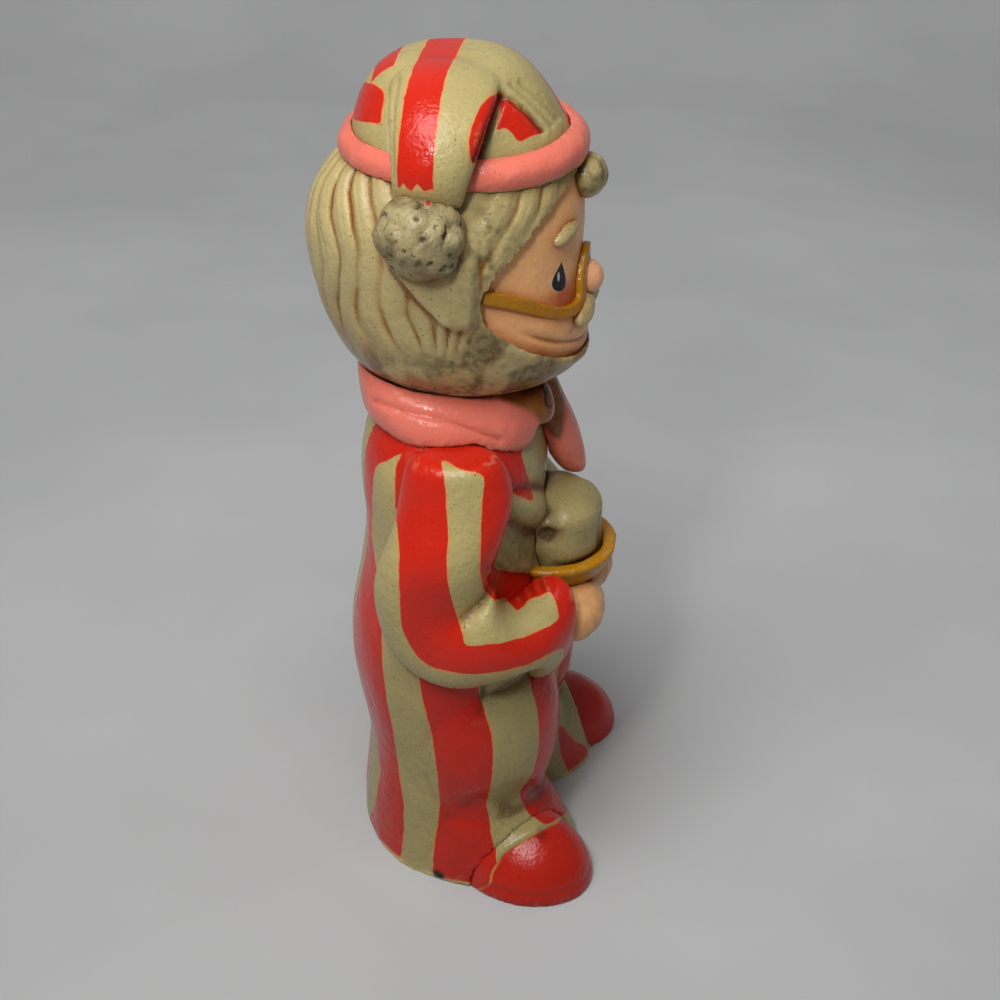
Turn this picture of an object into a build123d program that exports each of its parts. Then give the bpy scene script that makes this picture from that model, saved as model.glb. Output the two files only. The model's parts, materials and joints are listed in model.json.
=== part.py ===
"""Bearded doll figure in striped nightclothes, cast hollow in plaster and painted.

Millimetres, +Z up. The figure stands on z = 0 and faces -Y, with its right side towards -X.
Each modelled form is a solid of its own, cut to seat on the larger form that carries it.
"""

import os
from math import sqrt

from build123d import *

# Trunk levels, each measured up from the level below it
crease_rise = 16.0
hip_rise = 20.0
seat_rise = 18.0
waist_rise = 26.0
chest_rise = 20.0
shoulder_rise = 12.0
neck_rise = 9.0

# Trunk outlines: half width, and the reach to the front and to the back at each level
hem_half_width = 36.4
hem_front = 12.0
hem_back = 26.4
crease_half_width = 35.2
crease_front = 13.0
crease_back = 25.4
hip_half_width = 35.2
hip_front = 18.0
hip_back = 25.8
seat_half_width = 36.0
seat_front = 24.0
seat_back = 28.2
loin_half_width = 35.0
loin_front = 22.5
loin_back = 26.8
waist_half_width = 33.0
waist_front = 19.5
waist_back = 24.2
chest_half_width = 32.0
chest_front = 19.0
chest_back = 24.2
shoulder_half_width = 29.5
shoulder_front = 16.5
shoulder_back = 22.5
neck_half_width = 17.0
neck_front = 12.0
neck_back = 17.0
widest_y = 1.0

# Plaster wall and the hollow that the casting leaves, open underneath
wall = 7.5
neck_bore_radius = 7.0

# Trouser legs, the gap between them, and the hems that flare over the slippers
leg_spread = 19.5
leg_forward = 5.0
leg_radius = 18.5
ankle_radius = 16.0
gap_half_width = 2.5
gap_start = 7.0
crotch_rise = 8.0
hem_flare = 3.4
hem_reach = 4.2
hem_lap = 2.5

# Slippers
slipper_spread = 28.7
slipper_forward = 17.8
slipper_half_width = 14.5
slipper_half_length = 18.0
slipper_height = 15.5
slipper_splay = 22.0

# Sleeves
arm_half_width = 9.5
arm_half_depth = 13.0
arm_set_out = 1.8
arm_lean = 2.5
arm_cap = 4.5
elbow_drop = 8.5
elbow_bend = 15.5
forearm_radius = 9.4
cuff_radius = 8.0
cuff_set_out = 1.5
cuff_forward = 2.0
cuff_drop = 2.5

# Candle, its dish and the hands below it
dish_forward = 20.0
dish_drop = 11.0
dish_radius = 15.8
dish_foot_radius = 8.0
dish_height = 9.5
dish_wall = 2.4
candle_radius = 10.4
candle_height = 22.0
wax_overhang = 1.8
wax_half_height = 5.0
hand_half_width = 11.0
hand_half_depth = 7.2
hand_half_height = 6.8
hand_set_in = 7.5

# Collar and lapels
collar_height = 13.0
collar_half_width = 26.5
collar_front = 20.5
collar_back = 24.8
collar_edge = 2.5
collar_tilt = 10.0
collar_widest_y = 3.0
lapel_half_width = 6.5
lapel_thickness = 3.6
right_lapel_length = 9.0
left_lapel_length = 30.0

# Head levels, each measured up from the level below it
chin_rise = 3.0
jaw_rise = 4.0
mouth_rise = 6.0
cheek_rise = 9.0
temple_rise = 14.0
brow_rise = 11.0
cap_rise = 9.0

# Outer outlines of the head with its hair and beard
chin_half_width = 17.0
chin_front = 20.3
chin_back = 18.0
jaw_half_width = 22.5
jaw_front = 26.4
jaw_back = 25.4
mouth_half_width = 26.5
mouth_front = 29.2
mouth_back = 29.4
cheek_half_width = 29.0
cheek_front = 28.6
cheek_back = 32.6
temple_half_width = 30.5
temple_front = 27.6
temple_back = 35.0
brow_half_width = 29.5
brow_front = 27.4
brow_back = 32.6
cap_half_width = 26.0
cap_front = 25.4
cap_back = 24.8
hair_depth = 3.2
beard_depth = 1.2
neck_radius = 12.0

# The window in the hair that shows the face
window_half_width = 28.2
window_half_height = 21.0
window_rise = 2.5
window_back = 8.0
beard_top = 5.0

# Features of the face
nose_radius = 4.1
nose_drop = 9.5
moustache_half_width = 6.2
moustache_half_height = 3.2
eyebrow_half_width = 4.6
eyebrow_spread = 12.0
forelock_half_width = 5.6
forelock_half_height = 4.8
band_width = 2.7
band_thickness = 1.6
bridge_drop = 3.0
lens_drop = 12.6
side_bar_drop = 3.4

# Nightcap
crown_height = 20.0
crown_shoulder_rise = 8.0
crown_shoulder_inset = 4.5
crown_top_half_width = 9.0
crown_back_swell = 2.6
cap_cuff_radius = 4.2
cap_cuff_grip = 2.2
cap_cuff_lift = 1.0
tail_half_width = 11.0
tail_tip_half_width = 7.2
tail_thickness = 8.0
tail_back = 1.5
tail_drop = 3.0
tail_clear = 1.0
pompom_radius = 9.4
pompom_set_out = 3.0

# Levels and places that follow
crease_z = crease_rise
hip_z = crease_z + hip_rise
seat_z = hip_z + seat_rise
waist_z = seat_z + waist_rise
chest_z = waist_z + chest_rise
shoulder_z = chest_z + shoulder_rise
neck_z = shoulder_z + neck_rise
crotch_z = hip_z + crotch_rise
chin_z = neck_z + chin_rise
jaw_z = chin_z + jaw_rise
mouth_z = jaw_z + mouth_rise
cheek_z = mouth_z + cheek_rise
temple_z = cheek_z + temple_rise
brow_z = temple_z + brow_rise
cap_z = brow_z + cap_rise
crown_z = cap_z + crown_height
dish_z = waist_z - dish_drop
rim_z = dish_z + dish_height
elbow_z = waist_z - elbow_drop
bore_y = (hem_back - wall) / 4

torso_outlines = [
    (0, hem_half_width, hem_front, hem_back),
    (crease_z, crease_half_width, crease_front, crease_back),
    (hip_z, hip_half_width, hip_front, hip_back),
    (seat_z, seat_half_width, seat_front, seat_back),
    ((seat_z + waist_z) / 2, loin_half_width, loin_front, loin_back),
    (waist_z, waist_half_width, waist_front, waist_back),
    (chest_z, chest_half_width, chest_front, chest_back),
    (shoulder_z, shoulder_half_width, shoulder_front, shoulder_back),
    (neck_z, neck_half_width, neck_front, neck_back),
]
head_outlines = [
    (chin_z, chin_half_width, chin_front, chin_back),
    (jaw_z, jaw_half_width, jaw_front, jaw_back),
    (mouth_z, mouth_half_width, mouth_front, mouth_back),
    (cheek_z, cheek_half_width, cheek_front, cheek_back),
    (temple_z, temple_half_width, temple_front, temple_back),
    (brow_z, brow_half_width, brow_front, brow_back),
    (cap_z, cap_half_width, cap_front, cap_back),
]
skull_outlines = [
    (height, half_width - hair_depth, front - beard_depth, back - hair_depth)
    for height, half_width, front, back in head_outlines
]


def lofted(outlines, wide_y=widest_y, tilt=0, ruled=False):
    """A form lofted through egg-shaped level outlines: height, half width, front and back reach."""
    with BuildPart() as form:
        for height, half_width, front, back in outlines:
            with BuildSketch(Plane.XY.offset(height).rotated((tilt, 0, 0))):
                with BuildLine():
                    EllipticalCenterArc((0, wide_y), half_width, back - wide_y, 0, arc_size=180)
                    EllipticalCenterArc((0, wide_y), half_width, front + wide_y, 180, arc_size=180)
                make_face()
        loft(ruled=ruled)
    return form.part


def limb(outlines):
    """A form lofted through level ellipses: centre, half width and half depth."""
    with BuildPart() as form:
        for centre, half_width, half_depth in outlines:
            with BuildSketch(Plane(centre)):
                Circle(1)
                scale(by=(half_width, half_depth, 1))
        loft()
    return form.part


def lump(centre, half_sizes, turn=(0, 0, 0)):
    """A rounded lump: a ball drawn out to three half sizes, then turned about its centre."""
    with BuildPart() as form:
        Sphere(1)
        scale(by=half_sizes)
    return form.part.moved(Location(centre, turn))


def whole(builder):
    """The main solid of a piece, without the crumbs that a cut can leave inside its carrier."""
    return builder.solids().sort_by(SortBy.VOLUME)[-1]


def on_face(x, z, proud=0.0):
    """A point on the bare face at a distance from the middle line, moved out from the surface."""
    for below, above in zip(skull_outlines, skull_outlines[1:]):
        if below[0] <= z <= above[0]:
            share = (z - below[0]) / (above[0] - below[0])
            half_width = below[1] + share * (above[1] - below[1])
            reach = below[2] + share * (above[2] - below[2]) + widest_y
    y = -reach * sqrt(1 - (x / half_width) ** 2)
    outward = Vector(x / half_width**2, y / reach**2).normalized() * proud
    return (x + outward.X, widest_y + y + outward.Y, z)


# Trunk and legs: one shell, hollow from the open base up to the neck
leg_levels = [
    (0, ankle_radius),
    (crease_z, ankle_radius),
    (hip_z, leg_radius),
    (seat_z, ankle_radius - 1),
]
hollow_outlines = [
    (0, hem_half_width - 1.2 * wall, 0, hem_back - wall),
    (crease_z, crease_half_width - 1.2 * wall, 0, crease_back - wall),
    (hip_z, hip_half_width - 1.2 * wall, 0, hip_back - wall),
    (waist_z, waist_half_width - 1.2 * wall, 0, waist_back - wall),
    (chest_z, chest_half_width - 1.2 * wall, 0, chest_back - wall),
    (shoulder_z - wall, 2 * neck_bore_radius, 0, shoulder_back - wall),
]

with BuildPart() as torso:
    add(lofted(torso_outlines))

with BuildPart() as right_leg:
    add(limb([((-leg_spread, -leg_forward, z), r, r) for z, r in leg_levels]))

with BuildPart() as trunk:
    add(torso.part)
    add(right_leg.part)
    mirror(right_leg.part, about=Plane.YZ)

with BuildPart() as body:
    add(trunk.part)
    with BuildSketch(Plane.XZ.offset(gap_start)):
        with BuildLine():
            Polyline((-gap_half_width, 0), (gap_half_width, 0), (0, crotch_z), close=True)
        make_face()
    extrude(amount=seat_front + leg_radius, mode=Mode.SUBTRACT)
    add(lofted(hollow_outlines, (hem_back - wall) / 2, ruled=True), mode=Mode.SUBTRACT)
    with Locations((0, bore_y, neck_z)):
        Cylinder(neck_bore_radius, 4 * neck_rise, mode=Mode.SUBTRACT)

# Slippers: round toes turned outwards, flat on the floor, running in under the trouser hems
with BuildPart() as right_slipper:
    add(
        lump(
            (-slipper_spread, -slipper_forward, 0),
            (slipper_half_width, slipper_half_length, slipper_height),
            (0, 0, -slipper_splay),
        )
    )
    split(bisect_by=Plane.XY, keep=Keep.TOP)
    add(trunk.part, mode=Mode.SUBTRACT)
    add(whole(right_slipper), mode=Mode.REPLACE)

with BuildPart() as left_slipper:
    mirror(right_slipper.part, about=Plane.YZ)

# Trouser hems: rings that flare from the ankle crease to the floor and reach over the slippers
hem_levels = [
    ((-leg_spread, -leg_forward - 0.5 * hem_reach, 0), hem_flare, hem_reach + hem_flare),
    ((-leg_spread, -leg_forward - 0.5 * hem_reach, crease_z / 2), 0.85 * hem_flare, hem_reach),
    ((-leg_spread, -leg_forward, crease_z + hem_lap), 0.15 * hem_flare, 0.15 * hem_flare),
]

with BuildPart() as right_trouser_hem:
    add(limb([(centre, ankle_radius + w, ankle_radius + d) for centre, w, d in hem_levels]))
    with Locations((0, -leg_forward, crease_z / 2)):
        Box(2 * gap_half_width, 6 * leg_radius, 2 * crease_z, mode=Mode.SUBTRACT)
    for neighbour in (torso, right_leg, right_slipper):
        add(neighbour.part, mode=Mode.SUBTRACT)
    add(whole(right_trouser_hem), mode=Mode.REPLACE)

with BuildPart() as left_trouser_hem:
    mirror(right_trouser_hem.part, about=Plane.YZ)

# Sleeves: one tube from the shoulder down the upper arm, round the elbow and forward to the dish
arm_x = -(chest_half_width + arm_set_out)
shoulder_x = -shoulder_half_width
down = Vector(0, 0, -1)
forearm_start = Vector(arm_x, arm_lean - elbow_bend, elbow_z)
wrist = Vector(-(dish_radius + cuff_set_out), -(dish_forward + cuff_forward), dish_z - cuff_drop)
shoulder_levels = ((arm_cap, 0.55), (0.55 * arm_cap, 0.8), (-0.65 * arm_cap, 0.95))
sleeve_sections = [
    (
        Vector(shoulder_x, -arm_lean, shoulder_z + rise),
        down,
        share * arm_half_width,
        share * arm_half_depth,
    )
    for rise, share in shoulder_levels
] + [
    (Vector(arm_x, 0, chest_z - arm_cap), down, arm_half_width, 0.97 * arm_half_depth),
    (Vector(arm_x, arm_lean, elbow_z + elbow_bend), down, arm_half_width, arm_half_depth),
    (
        Vector(arm_x, arm_lean - 0.2 * elbow_bend, elbow_z + 0.2 * elbow_bend),
        Vector(0, -1, -1),
        arm_half_width,
        1.15 * arm_half_depth,
    ),
    (forearm_start, Vector(0.25, -1, 0), forearm_radius, forearm_radius),
    (
        0.45 * forearm_start + 0.55 * wrist + Vector(-1, -1, 0),
        Vector(0.75, -0.8, -0.1),
        forearm_radius,
        forearm_radius,
    ),
    (wrist, Vector(0.9, -0.6, -0.15), cuff_radius, cuff_radius),
]

with BuildPart() as right_sleeve:
    for centre, direction, half_width, half_depth in sleeve_sections:
        across = Vector(-direction.Y, direction.X) if direction.Y else Vector(1, 0)
        with BuildSketch(Plane(centre, x_dir=across, z_dir=direction)):
            Circle(1)
            scale(by=(half_width, half_depth, 1))
    loft()
    for neighbour in (torso, right_leg):
        add(neighbour.part, mode=Mode.SUBTRACT)
    add(whole(right_sleeve), mode=Mode.REPLACE)

with BuildPart() as left_sleeve:
    mirror(right_sleeve.part, about=Plane.YZ)

# Dish: a shallow bowl whose back half is sunk in the front of the trunk
with BuildPart() as candle_dish:
    with BuildSketch(Plane.XZ.offset(dish_forward)):
        with BuildLine():
            foot = Line((0, dish_z), (dish_foot_radius, dish_z))
            flank = TangentArc(foot @ 1, (dish_radius, rim_z), tangent=(1, 0.3))
            lip = Line(flank @ 1, (dish_radius - dish_wall, rim_z))
            floor_edge = (dish_foot_radius - dish_wall, dish_z + dish_wall)
            hollow_flank = TangentArc(lip @ 1, floor_edge, tangent=(-0.2, -1))
            Polyline(hollow_flank @ 1, (0, dish_z + dish_wall), (0, dish_z))
        make_face()
    revolve(axis=Axis((0, -dish_forward, 0), (0, 0, 1)))
    add(torso.part, mode=Mode.SUBTRACT)
    add(right_sleeve.part, mode=Mode.SUBTRACT)
    add(left_sleeve.part, mode=Mode.SUBTRACT)
    add(whole(candle_dish), mode=Mode.REPLACE)

# Candle: a fat stub standing in the dish, with melted wax hanging over its top edge
candle_foot_z = dish_z + dish_wall
wax_radius = candle_radius + wax_overhang
wax_z = candle_foot_z + candle_height - wax_half_height

with BuildPart() as candle:
    with BuildSketch(Plane((0, -dish_forward, candle_foot_z))):
        Circle(candle_radius)
    extrude(amount=candle_height - wax_half_height)
    add(lump((0, -dish_forward, wax_z), (wax_radius, wax_radius, wax_half_height)))
    add(candle_dish.part, mode=Mode.SUBTRACT)
    add(torso.part, mode=Mode.SUBTRACT)
    add(whole(candle), mode=Mode.REPLACE)

# Hands: two mittens that meet below the dish and run back into the sleeves
with BuildPart() as right_hand:
    add(
        lump(
            (-0.95 * hand_half_width, -(dish_forward + hand_set_in), dish_z - 0.4 * hand_half_height),
            (hand_half_width, hand_half_depth, hand_half_height),
        )
    )
    split(bisect_by=Plane.YZ, keep=Keep.BOTTOM)
    for neighbour in (torso, right_sleeve, candle_dish, candle):
        add(neighbour.part, mode=Mode.SUBTRACT)
    add(whole(right_hand), mode=Mode.REPLACE)

with BuildPart() as left_hand:
    mirror(right_hand.part, about=Plane.YZ)

# Head: face, skull and neck, hollow like the trunk, under a crown that shares the hollow
hollow_top = crown_z - wall
hollow_floor = jaw_z + wall

with BuildPart() as head_hollow:
    add(
        lump(
            (0, bore_y, (hollow_top + hollow_floor) / 2),
            (
                mouth_half_width - hair_depth - wall,
                mouth_front - beard_depth - wall,
                (hollow_top - hollow_floor) / 2,
            ),
        )
    )
    with Locations((0, bore_y, cheek_z)):
        Cylinder(neck_bore_radius, 2 * (cheek_z - neck_z))

with BuildPart() as skull:
    add(lofted(skull_outlines))
    with BuildSketch(Plane((0, bore_y, neck_z))):
        Circle(neck_radius)
    extrude(amount=mouth_z - neck_z)

with BuildPart() as head:
    add(skull.part)
    add(head_hollow.part, mode=Mode.SUBTRACT)

# Hair and beard: one thickness round the skull, open in front of the face, parted at the jaw
with BuildPart() as head_outside:
    add(lofted(head_outlines))
    add(skull.part)

with BuildPart() as hair_all_round:
    add(head_outside.part)
    add(skull.part, mode=Mode.SUBTRACT)
    with BuildSketch(Plane.XZ.offset(window_back)):
        with Locations((0, (cheek_z + temple_z) / 2 + window_rise)):
            Ellipse(window_half_width, window_half_height)
    extrude(amount=cheek_back + cheek_front, mode=Mode.SUBTRACT)

with BuildPart() as beard_zone:
    with Locations((0, 0, mouth_z + beard_top)):
        Box(
            3 * cheek_half_width,
            2 * cheek_front,
            2 * cheek_front,
            align=(Align.CENTER, Align.MAX, Align.MAX),
        )

with BuildPart() as hair:
    add(hair_all_round.part)
    add(beard_zone.part, mode=Mode.SUBTRACT)
    add(whole(hair), mode=Mode.REPLACE)

with BuildPart() as beard:
    add(hair_all_round.part)
    add(beard_zone.part, mode=Mode.INTERSECT)
    add(whole(beard), mode=Mode.REPLACE)

# Spectacles: a raised band that dips under each eye, climbs beside the nose and bridges it
nose_z = temple_z - nose_drop
lens_z = temple_z - lens_drop
band_half = [
    (window_half_width - 0.5, temple_z - side_bar_drop),
    (0.7 * window_half_width, lens_z + 0.38 * (lens_drop - side_bar_drop)),
    (0.37 * window_half_width, lens_z),
    (nose_radius + band_width, lens_z + 0.5 * band_width),
    (nose_radius + 0.8 * band_width, nose_z),
    (0.8 * nose_radius, temple_z - bridge_drop - 0.5 * band_width),
]
band_outlines = [
    (height, half_width + band_thickness, front + band_thickness, back)
    for height, half_width, front, back in skull_outlines
]

with BuildPart() as spectacles:
    with BuildSketch(Plane.XZ.offset(window_back)):
        with BuildLine():
            Spline(
                *[(-x, z) for x, z in band_half],
                (0, temple_z - bridge_drop),
                *[(x, z) for x, z in reversed(band_half)],
            )
        trace(line_width=band_width)
    extrude(amount=2 * cheek_front)
    add(lofted(band_outlines), mode=Mode.INTERSECT)
    add(skull.part, mode=Mode.SUBTRACT)
    add(hair.part, mode=Mode.SUBTRACT)
    add(whole(spectacles), mode=Mode.REPLACE)

# Nose, moustache and eyebrows: lumps laid on the face
moustache_z = nose_z - nose_radius - 0.4 * moustache_half_height
moustache_x = 0.75 * moustache_half_width

with BuildPart() as nose:
    add(lump(on_face(0, nose_z), (nose_radius, nose_radius, nose_radius)))
    add(skull.part, mode=Mode.SUBTRACT)
    add(spectacles.part, mode=Mode.SUBTRACT)

with BuildPart() as moustache:
    for side in (-1, 1):
        add(
            lump(
                on_face(side * moustache_x, moustache_z),
                (moustache_half_width, 0.9 * moustache_half_height, moustache_half_height),
                (0, side * 12, 0),
            )
        )
    for neighbour in (skull, nose, beard, spectacles):
        add(neighbour.part, mode=Mode.SUBTRACT)
    add(whole(moustache), mode=Mode.REPLACE)

with BuildPart() as eyebrows:
    add(
        lump(
            on_face(eyebrow_spread, temple_z + 0.5 * brow_rise),
            (eyebrow_half_width, 0.5 * eyebrow_half_width, 0.45 * eyebrow_half_width),
            (0, 15, 25),
        )
    )
    add(skull.part, mode=Mode.SUBTRACT)
    mirror(about=Plane.YZ)

# Nightcap: a low crown that sits on the head, a rolled cuff, and a tail folded over to the right
cap_middle = (cap_back - cap_front) / 2
ring_radius = (cap_front + cap_back) / 2 - cap_cuff_grip
crown_outlines = [
    (cap_z, cap_half_width, cap_front, cap_back),
    (
        cap_z + crown_shoulder_rise,
        cap_half_width - crown_shoulder_inset,
        cap_front - crown_shoulder_inset,
        cap_back - crown_shoulder_inset + crown_back_swell,
    ),
    (
        cap_z + 0.8 * crown_height,
        0.45 * cap_half_width + 0.5 * crown_top_half_width,
        0.45 * cap_front + 0.4 * crown_top_half_width,
        0.45 * cap_back + 0.4 * crown_top_half_width + 1.5 * crown_back_swell,
    ),
    (
        crown_z,
        crown_top_half_width,
        0.7 * crown_top_half_width,
        0.9 * crown_top_half_width + crown_back_swell,
    ),
]

with BuildPart() as crown:
    add(lofted(crown_outlines))

with BuildPart() as nightcap:
    add(crown.part)
    add(head_hollow.part, mode=Mode.SUBTRACT)

with BuildPart() as cap_cuff:
    with Locations((0, cap_middle, cap_z + cap_cuff_lift)):
        Torus(ring_radius, cap_cuff_radius)
    add(crown.part, mode=Mode.SUBTRACT)
    add(head_outside.part, mode=Mode.SUBTRACT)
    add(whole(cap_cuff), mode=Mode.REPLACE)

with BuildPart() as forelock:
    add(
        lump(
            on_face(0, brow_z + 0.35 * cap_rise, 0.25 * forelock_half_width),
            (forelock_half_width, 0.8 * forelock_half_width, forelock_half_height),
        )
    )
    for neighbour in (skull, hair, cap_cuff):
        add(neighbour.part, mode=Mode.SUBTRACT)
    add(whole(forelock), mode=Mode.REPLACE)

tail_x = ring_radius + cap_cuff_radius + tail_clear
tail_tip = Vector(-tail_x, tail_back + 1.5, cap_z - tail_drop)
tail_sections = [
    (Vector(-0.2 * tail_x, tail_back, crown_z - 0.45 * tail_thickness), tail_half_width, (-1, 0, 0)),
    (Vector(-0.6 * tail_x, tail_back, crown_z - 0.6 * tail_thickness), tail_half_width, (-1, 0, -0.5)),
    (
        Vector(-0.95 * tail_x, tail_back, cap_z + 0.45 * crown_height),
        0.85 * tail_half_width,
        (-0.5, 0, -1),
    ),
    (tail_tip, tail_tip_half_width, (0, 0, -1)),
]

with BuildPart() as cap_tail:
    for centre, half_width, direction in tail_sections:
        with BuildSketch(Plane(centre, x_dir=(0, 1, 0), z_dir=direction)):
            Circle(1)
            scale(by=(half_width, 0.5 * tail_thickness, 1))
    loft()
    for neighbour in (crown, cap_cuff, head_outside):
        add(neighbour.part, mode=Mode.SUBTRACT)
    add(whole(cap_tail), mode=Mode.REPLACE)

with BuildPart() as pompom:
    pompom_centre = tail_tip - Vector(pompom_set_out, -1, 0.6 * pompom_radius)
    add(lump(tuple(pompom_centre), (pompom_radius, pompom_radius, pompom_radius)))
    for neighbour in (cap_tail, cap_cuff, head_outside):
        add(neighbour.part, mode=Mode.SUBTRACT)
    add(whole(pompom), mode=Mode.REPLACE)

# Collar: a thick roll round the neck, open in front, with a short right lapel and a long left one
collar_outlines = [
    (neck_z + 0.4 * collar_height, neck_radius + 5, neck_radius + 3, collar_back - collar_edge),
    (neck_z + 0.12 * collar_height, collar_half_width - collar_edge, collar_front - 1, collar_back),
    (neck_z - 0.23 * collar_height, collar_half_width, collar_front, collar_back),
    (neck_z - 0.6 * collar_height, collar_half_width - 1, collar_front - 1, collar_back - 1),
]
lapel_start = neck_z + 0.15 * collar_height
lapel_lean = (chest_front - neck_front) / (neck_z - chest_z)


def lapel(side, length):
    """One lapel: a thick tongue that lies down the chest from the collar."""
    levels = []
    for part_way, width in ((0, 0.8), (0.5, 1.0), (0.85, 0.75), (1.0, 0.3)):
        drop = part_way * length
        centre = (
            side * (0.75 * lapel_half_width + 0.15 * drop),
            -(neck_front + 0.7 * lapel_thickness + lapel_lean * drop),
            lapel_start - drop,
        )
        levels.append((centre, width * lapel_half_width, 1.4 * sqrt(width) * lapel_thickness))
    return limb(levels)


with BuildPart() as collar:
    add(lofted(collar_outlines, collar_widest_y, collar_tilt))
    with BuildSketch(Plane.XZ):
        with BuildLine():
            Polyline(
                (0, neck_z - collar_height),
                (2 * lapel_half_width, neck_z - collar_height),
                (0.4 * lapel_half_width, neck_z + collar_height),
                (0, neck_z + collar_height),
                close=True,
            )
        make_face()
        mirror(about=Plane.YZ)
    extrude(amount=2 * collar_front, mode=Mode.SUBTRACT)
    add(lapel(-1, right_lapel_length))
    for neighbour in (torso, head_outside, right_sleeve, left_sleeve, candle):
        add(neighbour.part, mode=Mode.SUBTRACT)
    add(whole(collar), mode=Mode.REPLACE)

with BuildPart() as left_lapel:
    add(lapel(1, left_lapel_length))
    for neighbour in (torso, head_outside, candle, candle_dish, collar):
        add(neighbour.part, mode=Mode.SUBTRACT)
    add(whole(left_lapel), mode=Mode.REPLACE)

pieces = {
    "body": body,
    "right_trouser_hem": right_trouser_hem,
    "left_trouser_hem": left_trouser_hem,
    "right_slipper": right_slipper,
    "left_slipper": left_slipper,
    "right_sleeve": right_sleeve,
    "left_sleeve": left_sleeve,
    "right_hand": right_hand,
    "left_hand": left_hand,
    "candle_dish": candle_dish,
    "candle": candle,
    "collar": collar,
    "left_lapel": left_lapel,
    "head": head,
    "hair": hair,
    "beard": beard,
    "moustache": moustache,
    "nose": nose,
    "eyebrows": eyebrows,
    "forelock": forelock,
    "spectacles": spectacles,
    "nightcap": nightcap,
    "cap_cuff": cap_cuff,
    "cap_tail": cap_tail,
    "pompom": pompom,
}

os.makedirs("parts", exist_ok=True)
for name, piece in pieces.items():
    piece.part.label = name
    export_step(piece.part, f"parts/{name}.step")
    print(f"{name}: {len(piece.solids())} solid, {piece.part.volume / 1000:.2f} cm3")
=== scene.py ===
# %% [markdown]
# # A painted plaster figure
# The object is an old cast figure: a bearded sleeper in striped nightclothes who carries a candle stub in a
# dish. It was poured in a mould, so every form is soft, every edge is round, and the colour is thick hand
# paint under yellowed varnish. The measured solids come first, because every piece below keeps their place.

# %% Load the measured frame
import json
import math

import bpy
import numpy as np
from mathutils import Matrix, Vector, noise
from mathutils.bvhtree import BVHTree

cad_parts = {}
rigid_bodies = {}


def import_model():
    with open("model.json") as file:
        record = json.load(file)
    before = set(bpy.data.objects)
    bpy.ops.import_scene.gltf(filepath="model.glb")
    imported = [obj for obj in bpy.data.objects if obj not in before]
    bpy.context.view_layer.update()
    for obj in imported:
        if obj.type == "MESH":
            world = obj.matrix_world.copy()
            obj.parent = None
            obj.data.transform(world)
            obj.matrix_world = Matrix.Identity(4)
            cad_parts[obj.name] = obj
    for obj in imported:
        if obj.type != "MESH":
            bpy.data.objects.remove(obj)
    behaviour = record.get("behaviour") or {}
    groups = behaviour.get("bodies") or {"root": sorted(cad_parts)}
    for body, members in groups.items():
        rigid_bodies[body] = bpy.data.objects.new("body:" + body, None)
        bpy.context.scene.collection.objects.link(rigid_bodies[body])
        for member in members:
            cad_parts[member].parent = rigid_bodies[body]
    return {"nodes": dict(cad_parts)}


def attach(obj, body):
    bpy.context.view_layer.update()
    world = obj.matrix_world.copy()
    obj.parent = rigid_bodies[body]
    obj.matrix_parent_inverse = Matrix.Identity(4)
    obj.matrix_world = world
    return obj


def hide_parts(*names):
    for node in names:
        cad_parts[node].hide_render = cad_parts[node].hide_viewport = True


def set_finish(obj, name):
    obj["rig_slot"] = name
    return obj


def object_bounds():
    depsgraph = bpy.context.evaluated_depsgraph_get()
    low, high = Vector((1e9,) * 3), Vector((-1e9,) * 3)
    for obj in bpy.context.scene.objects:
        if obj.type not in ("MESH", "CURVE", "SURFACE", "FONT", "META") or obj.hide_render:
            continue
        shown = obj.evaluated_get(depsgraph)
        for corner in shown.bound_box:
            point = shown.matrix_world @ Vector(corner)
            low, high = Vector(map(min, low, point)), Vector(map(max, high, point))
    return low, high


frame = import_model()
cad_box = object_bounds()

MM = 0.001
scene = bpy.context.scene
print("solids in the frame:", len(frame["nodes"]))

# %% [markdown]
# ## Camera
# The photo was taken from the figure's right side, a little in front and well above. The camera comes first,
# because small painted details are drawn further down in the photo's own pixels: every point of the clay knows
# where this camera sees it, so a detail traced on the photo lands on the surface that really carries it.

# %% Place the camera
CAMERA_PLACE = Vector((-0.38197, -0.06168, 0.31977))
CAMERA_AIM = Vector((0, -0.008, 0.088))
LENS, SENSOR, PHOTO_PIXELS = 67.86, 36.0, 1000
PIXELS_PER_MM = 4.2

camera_data = bpy.data.cameras.new("camera")
camera_data.lens = LENS
camera_data.sensor_width = SENSOR
camera = bpy.data.objects.new("camera", camera_data)
scene.collection.objects.link(camera)
camera.location = CAMERA_PLACE
camera.rotation_euler = (CAMERA_AIM - CAMERA_PLACE).to_track_quat("-Z", "Y").to_euler()
scene.camera = camera
print("camera at", tuple(round(v, 3) for v in CAMERA_PLACE))

# %% [markdown]
# ## Casting a piece
# A plaster form could be built from a primitive, but the figure is all egg shapes that run into each other, and
# the solids already hold them. So each piece starts as a copy of one solid, or of a few that the real casting
# joins without a seam. Their loose triangles are merged, a voxel remesh gives them one even clay-like skin, and
# a smooth modifier rounds the edges as slip in a mould does. The solids themselves are only hidden.

# %% Helpers that work on one object at a time
pieces = {}
quiet = {}


def alone(obj):
    """Makes one object the only selected one and the active one."""
    if bpy.context.mode != "OBJECT":
        bpy.ops.object.mode_set(mode="OBJECT")
    bpy.ops.object.select_all(action="DESELECT")
    obj.select_set(True)
    bpy.context.view_layer.objects.active = obj


def finish_with(obj, kind, **settings):
    """Adds a modifier and applies it."""
    alone(obj)
    modifier = obj.modifiers.new(kind.title(), kind)
    for key, value in settings.items():
        setattr(modifier, key, value)
    bpy.ops.object.modifier_apply(modifier=modifier.name)


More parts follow.
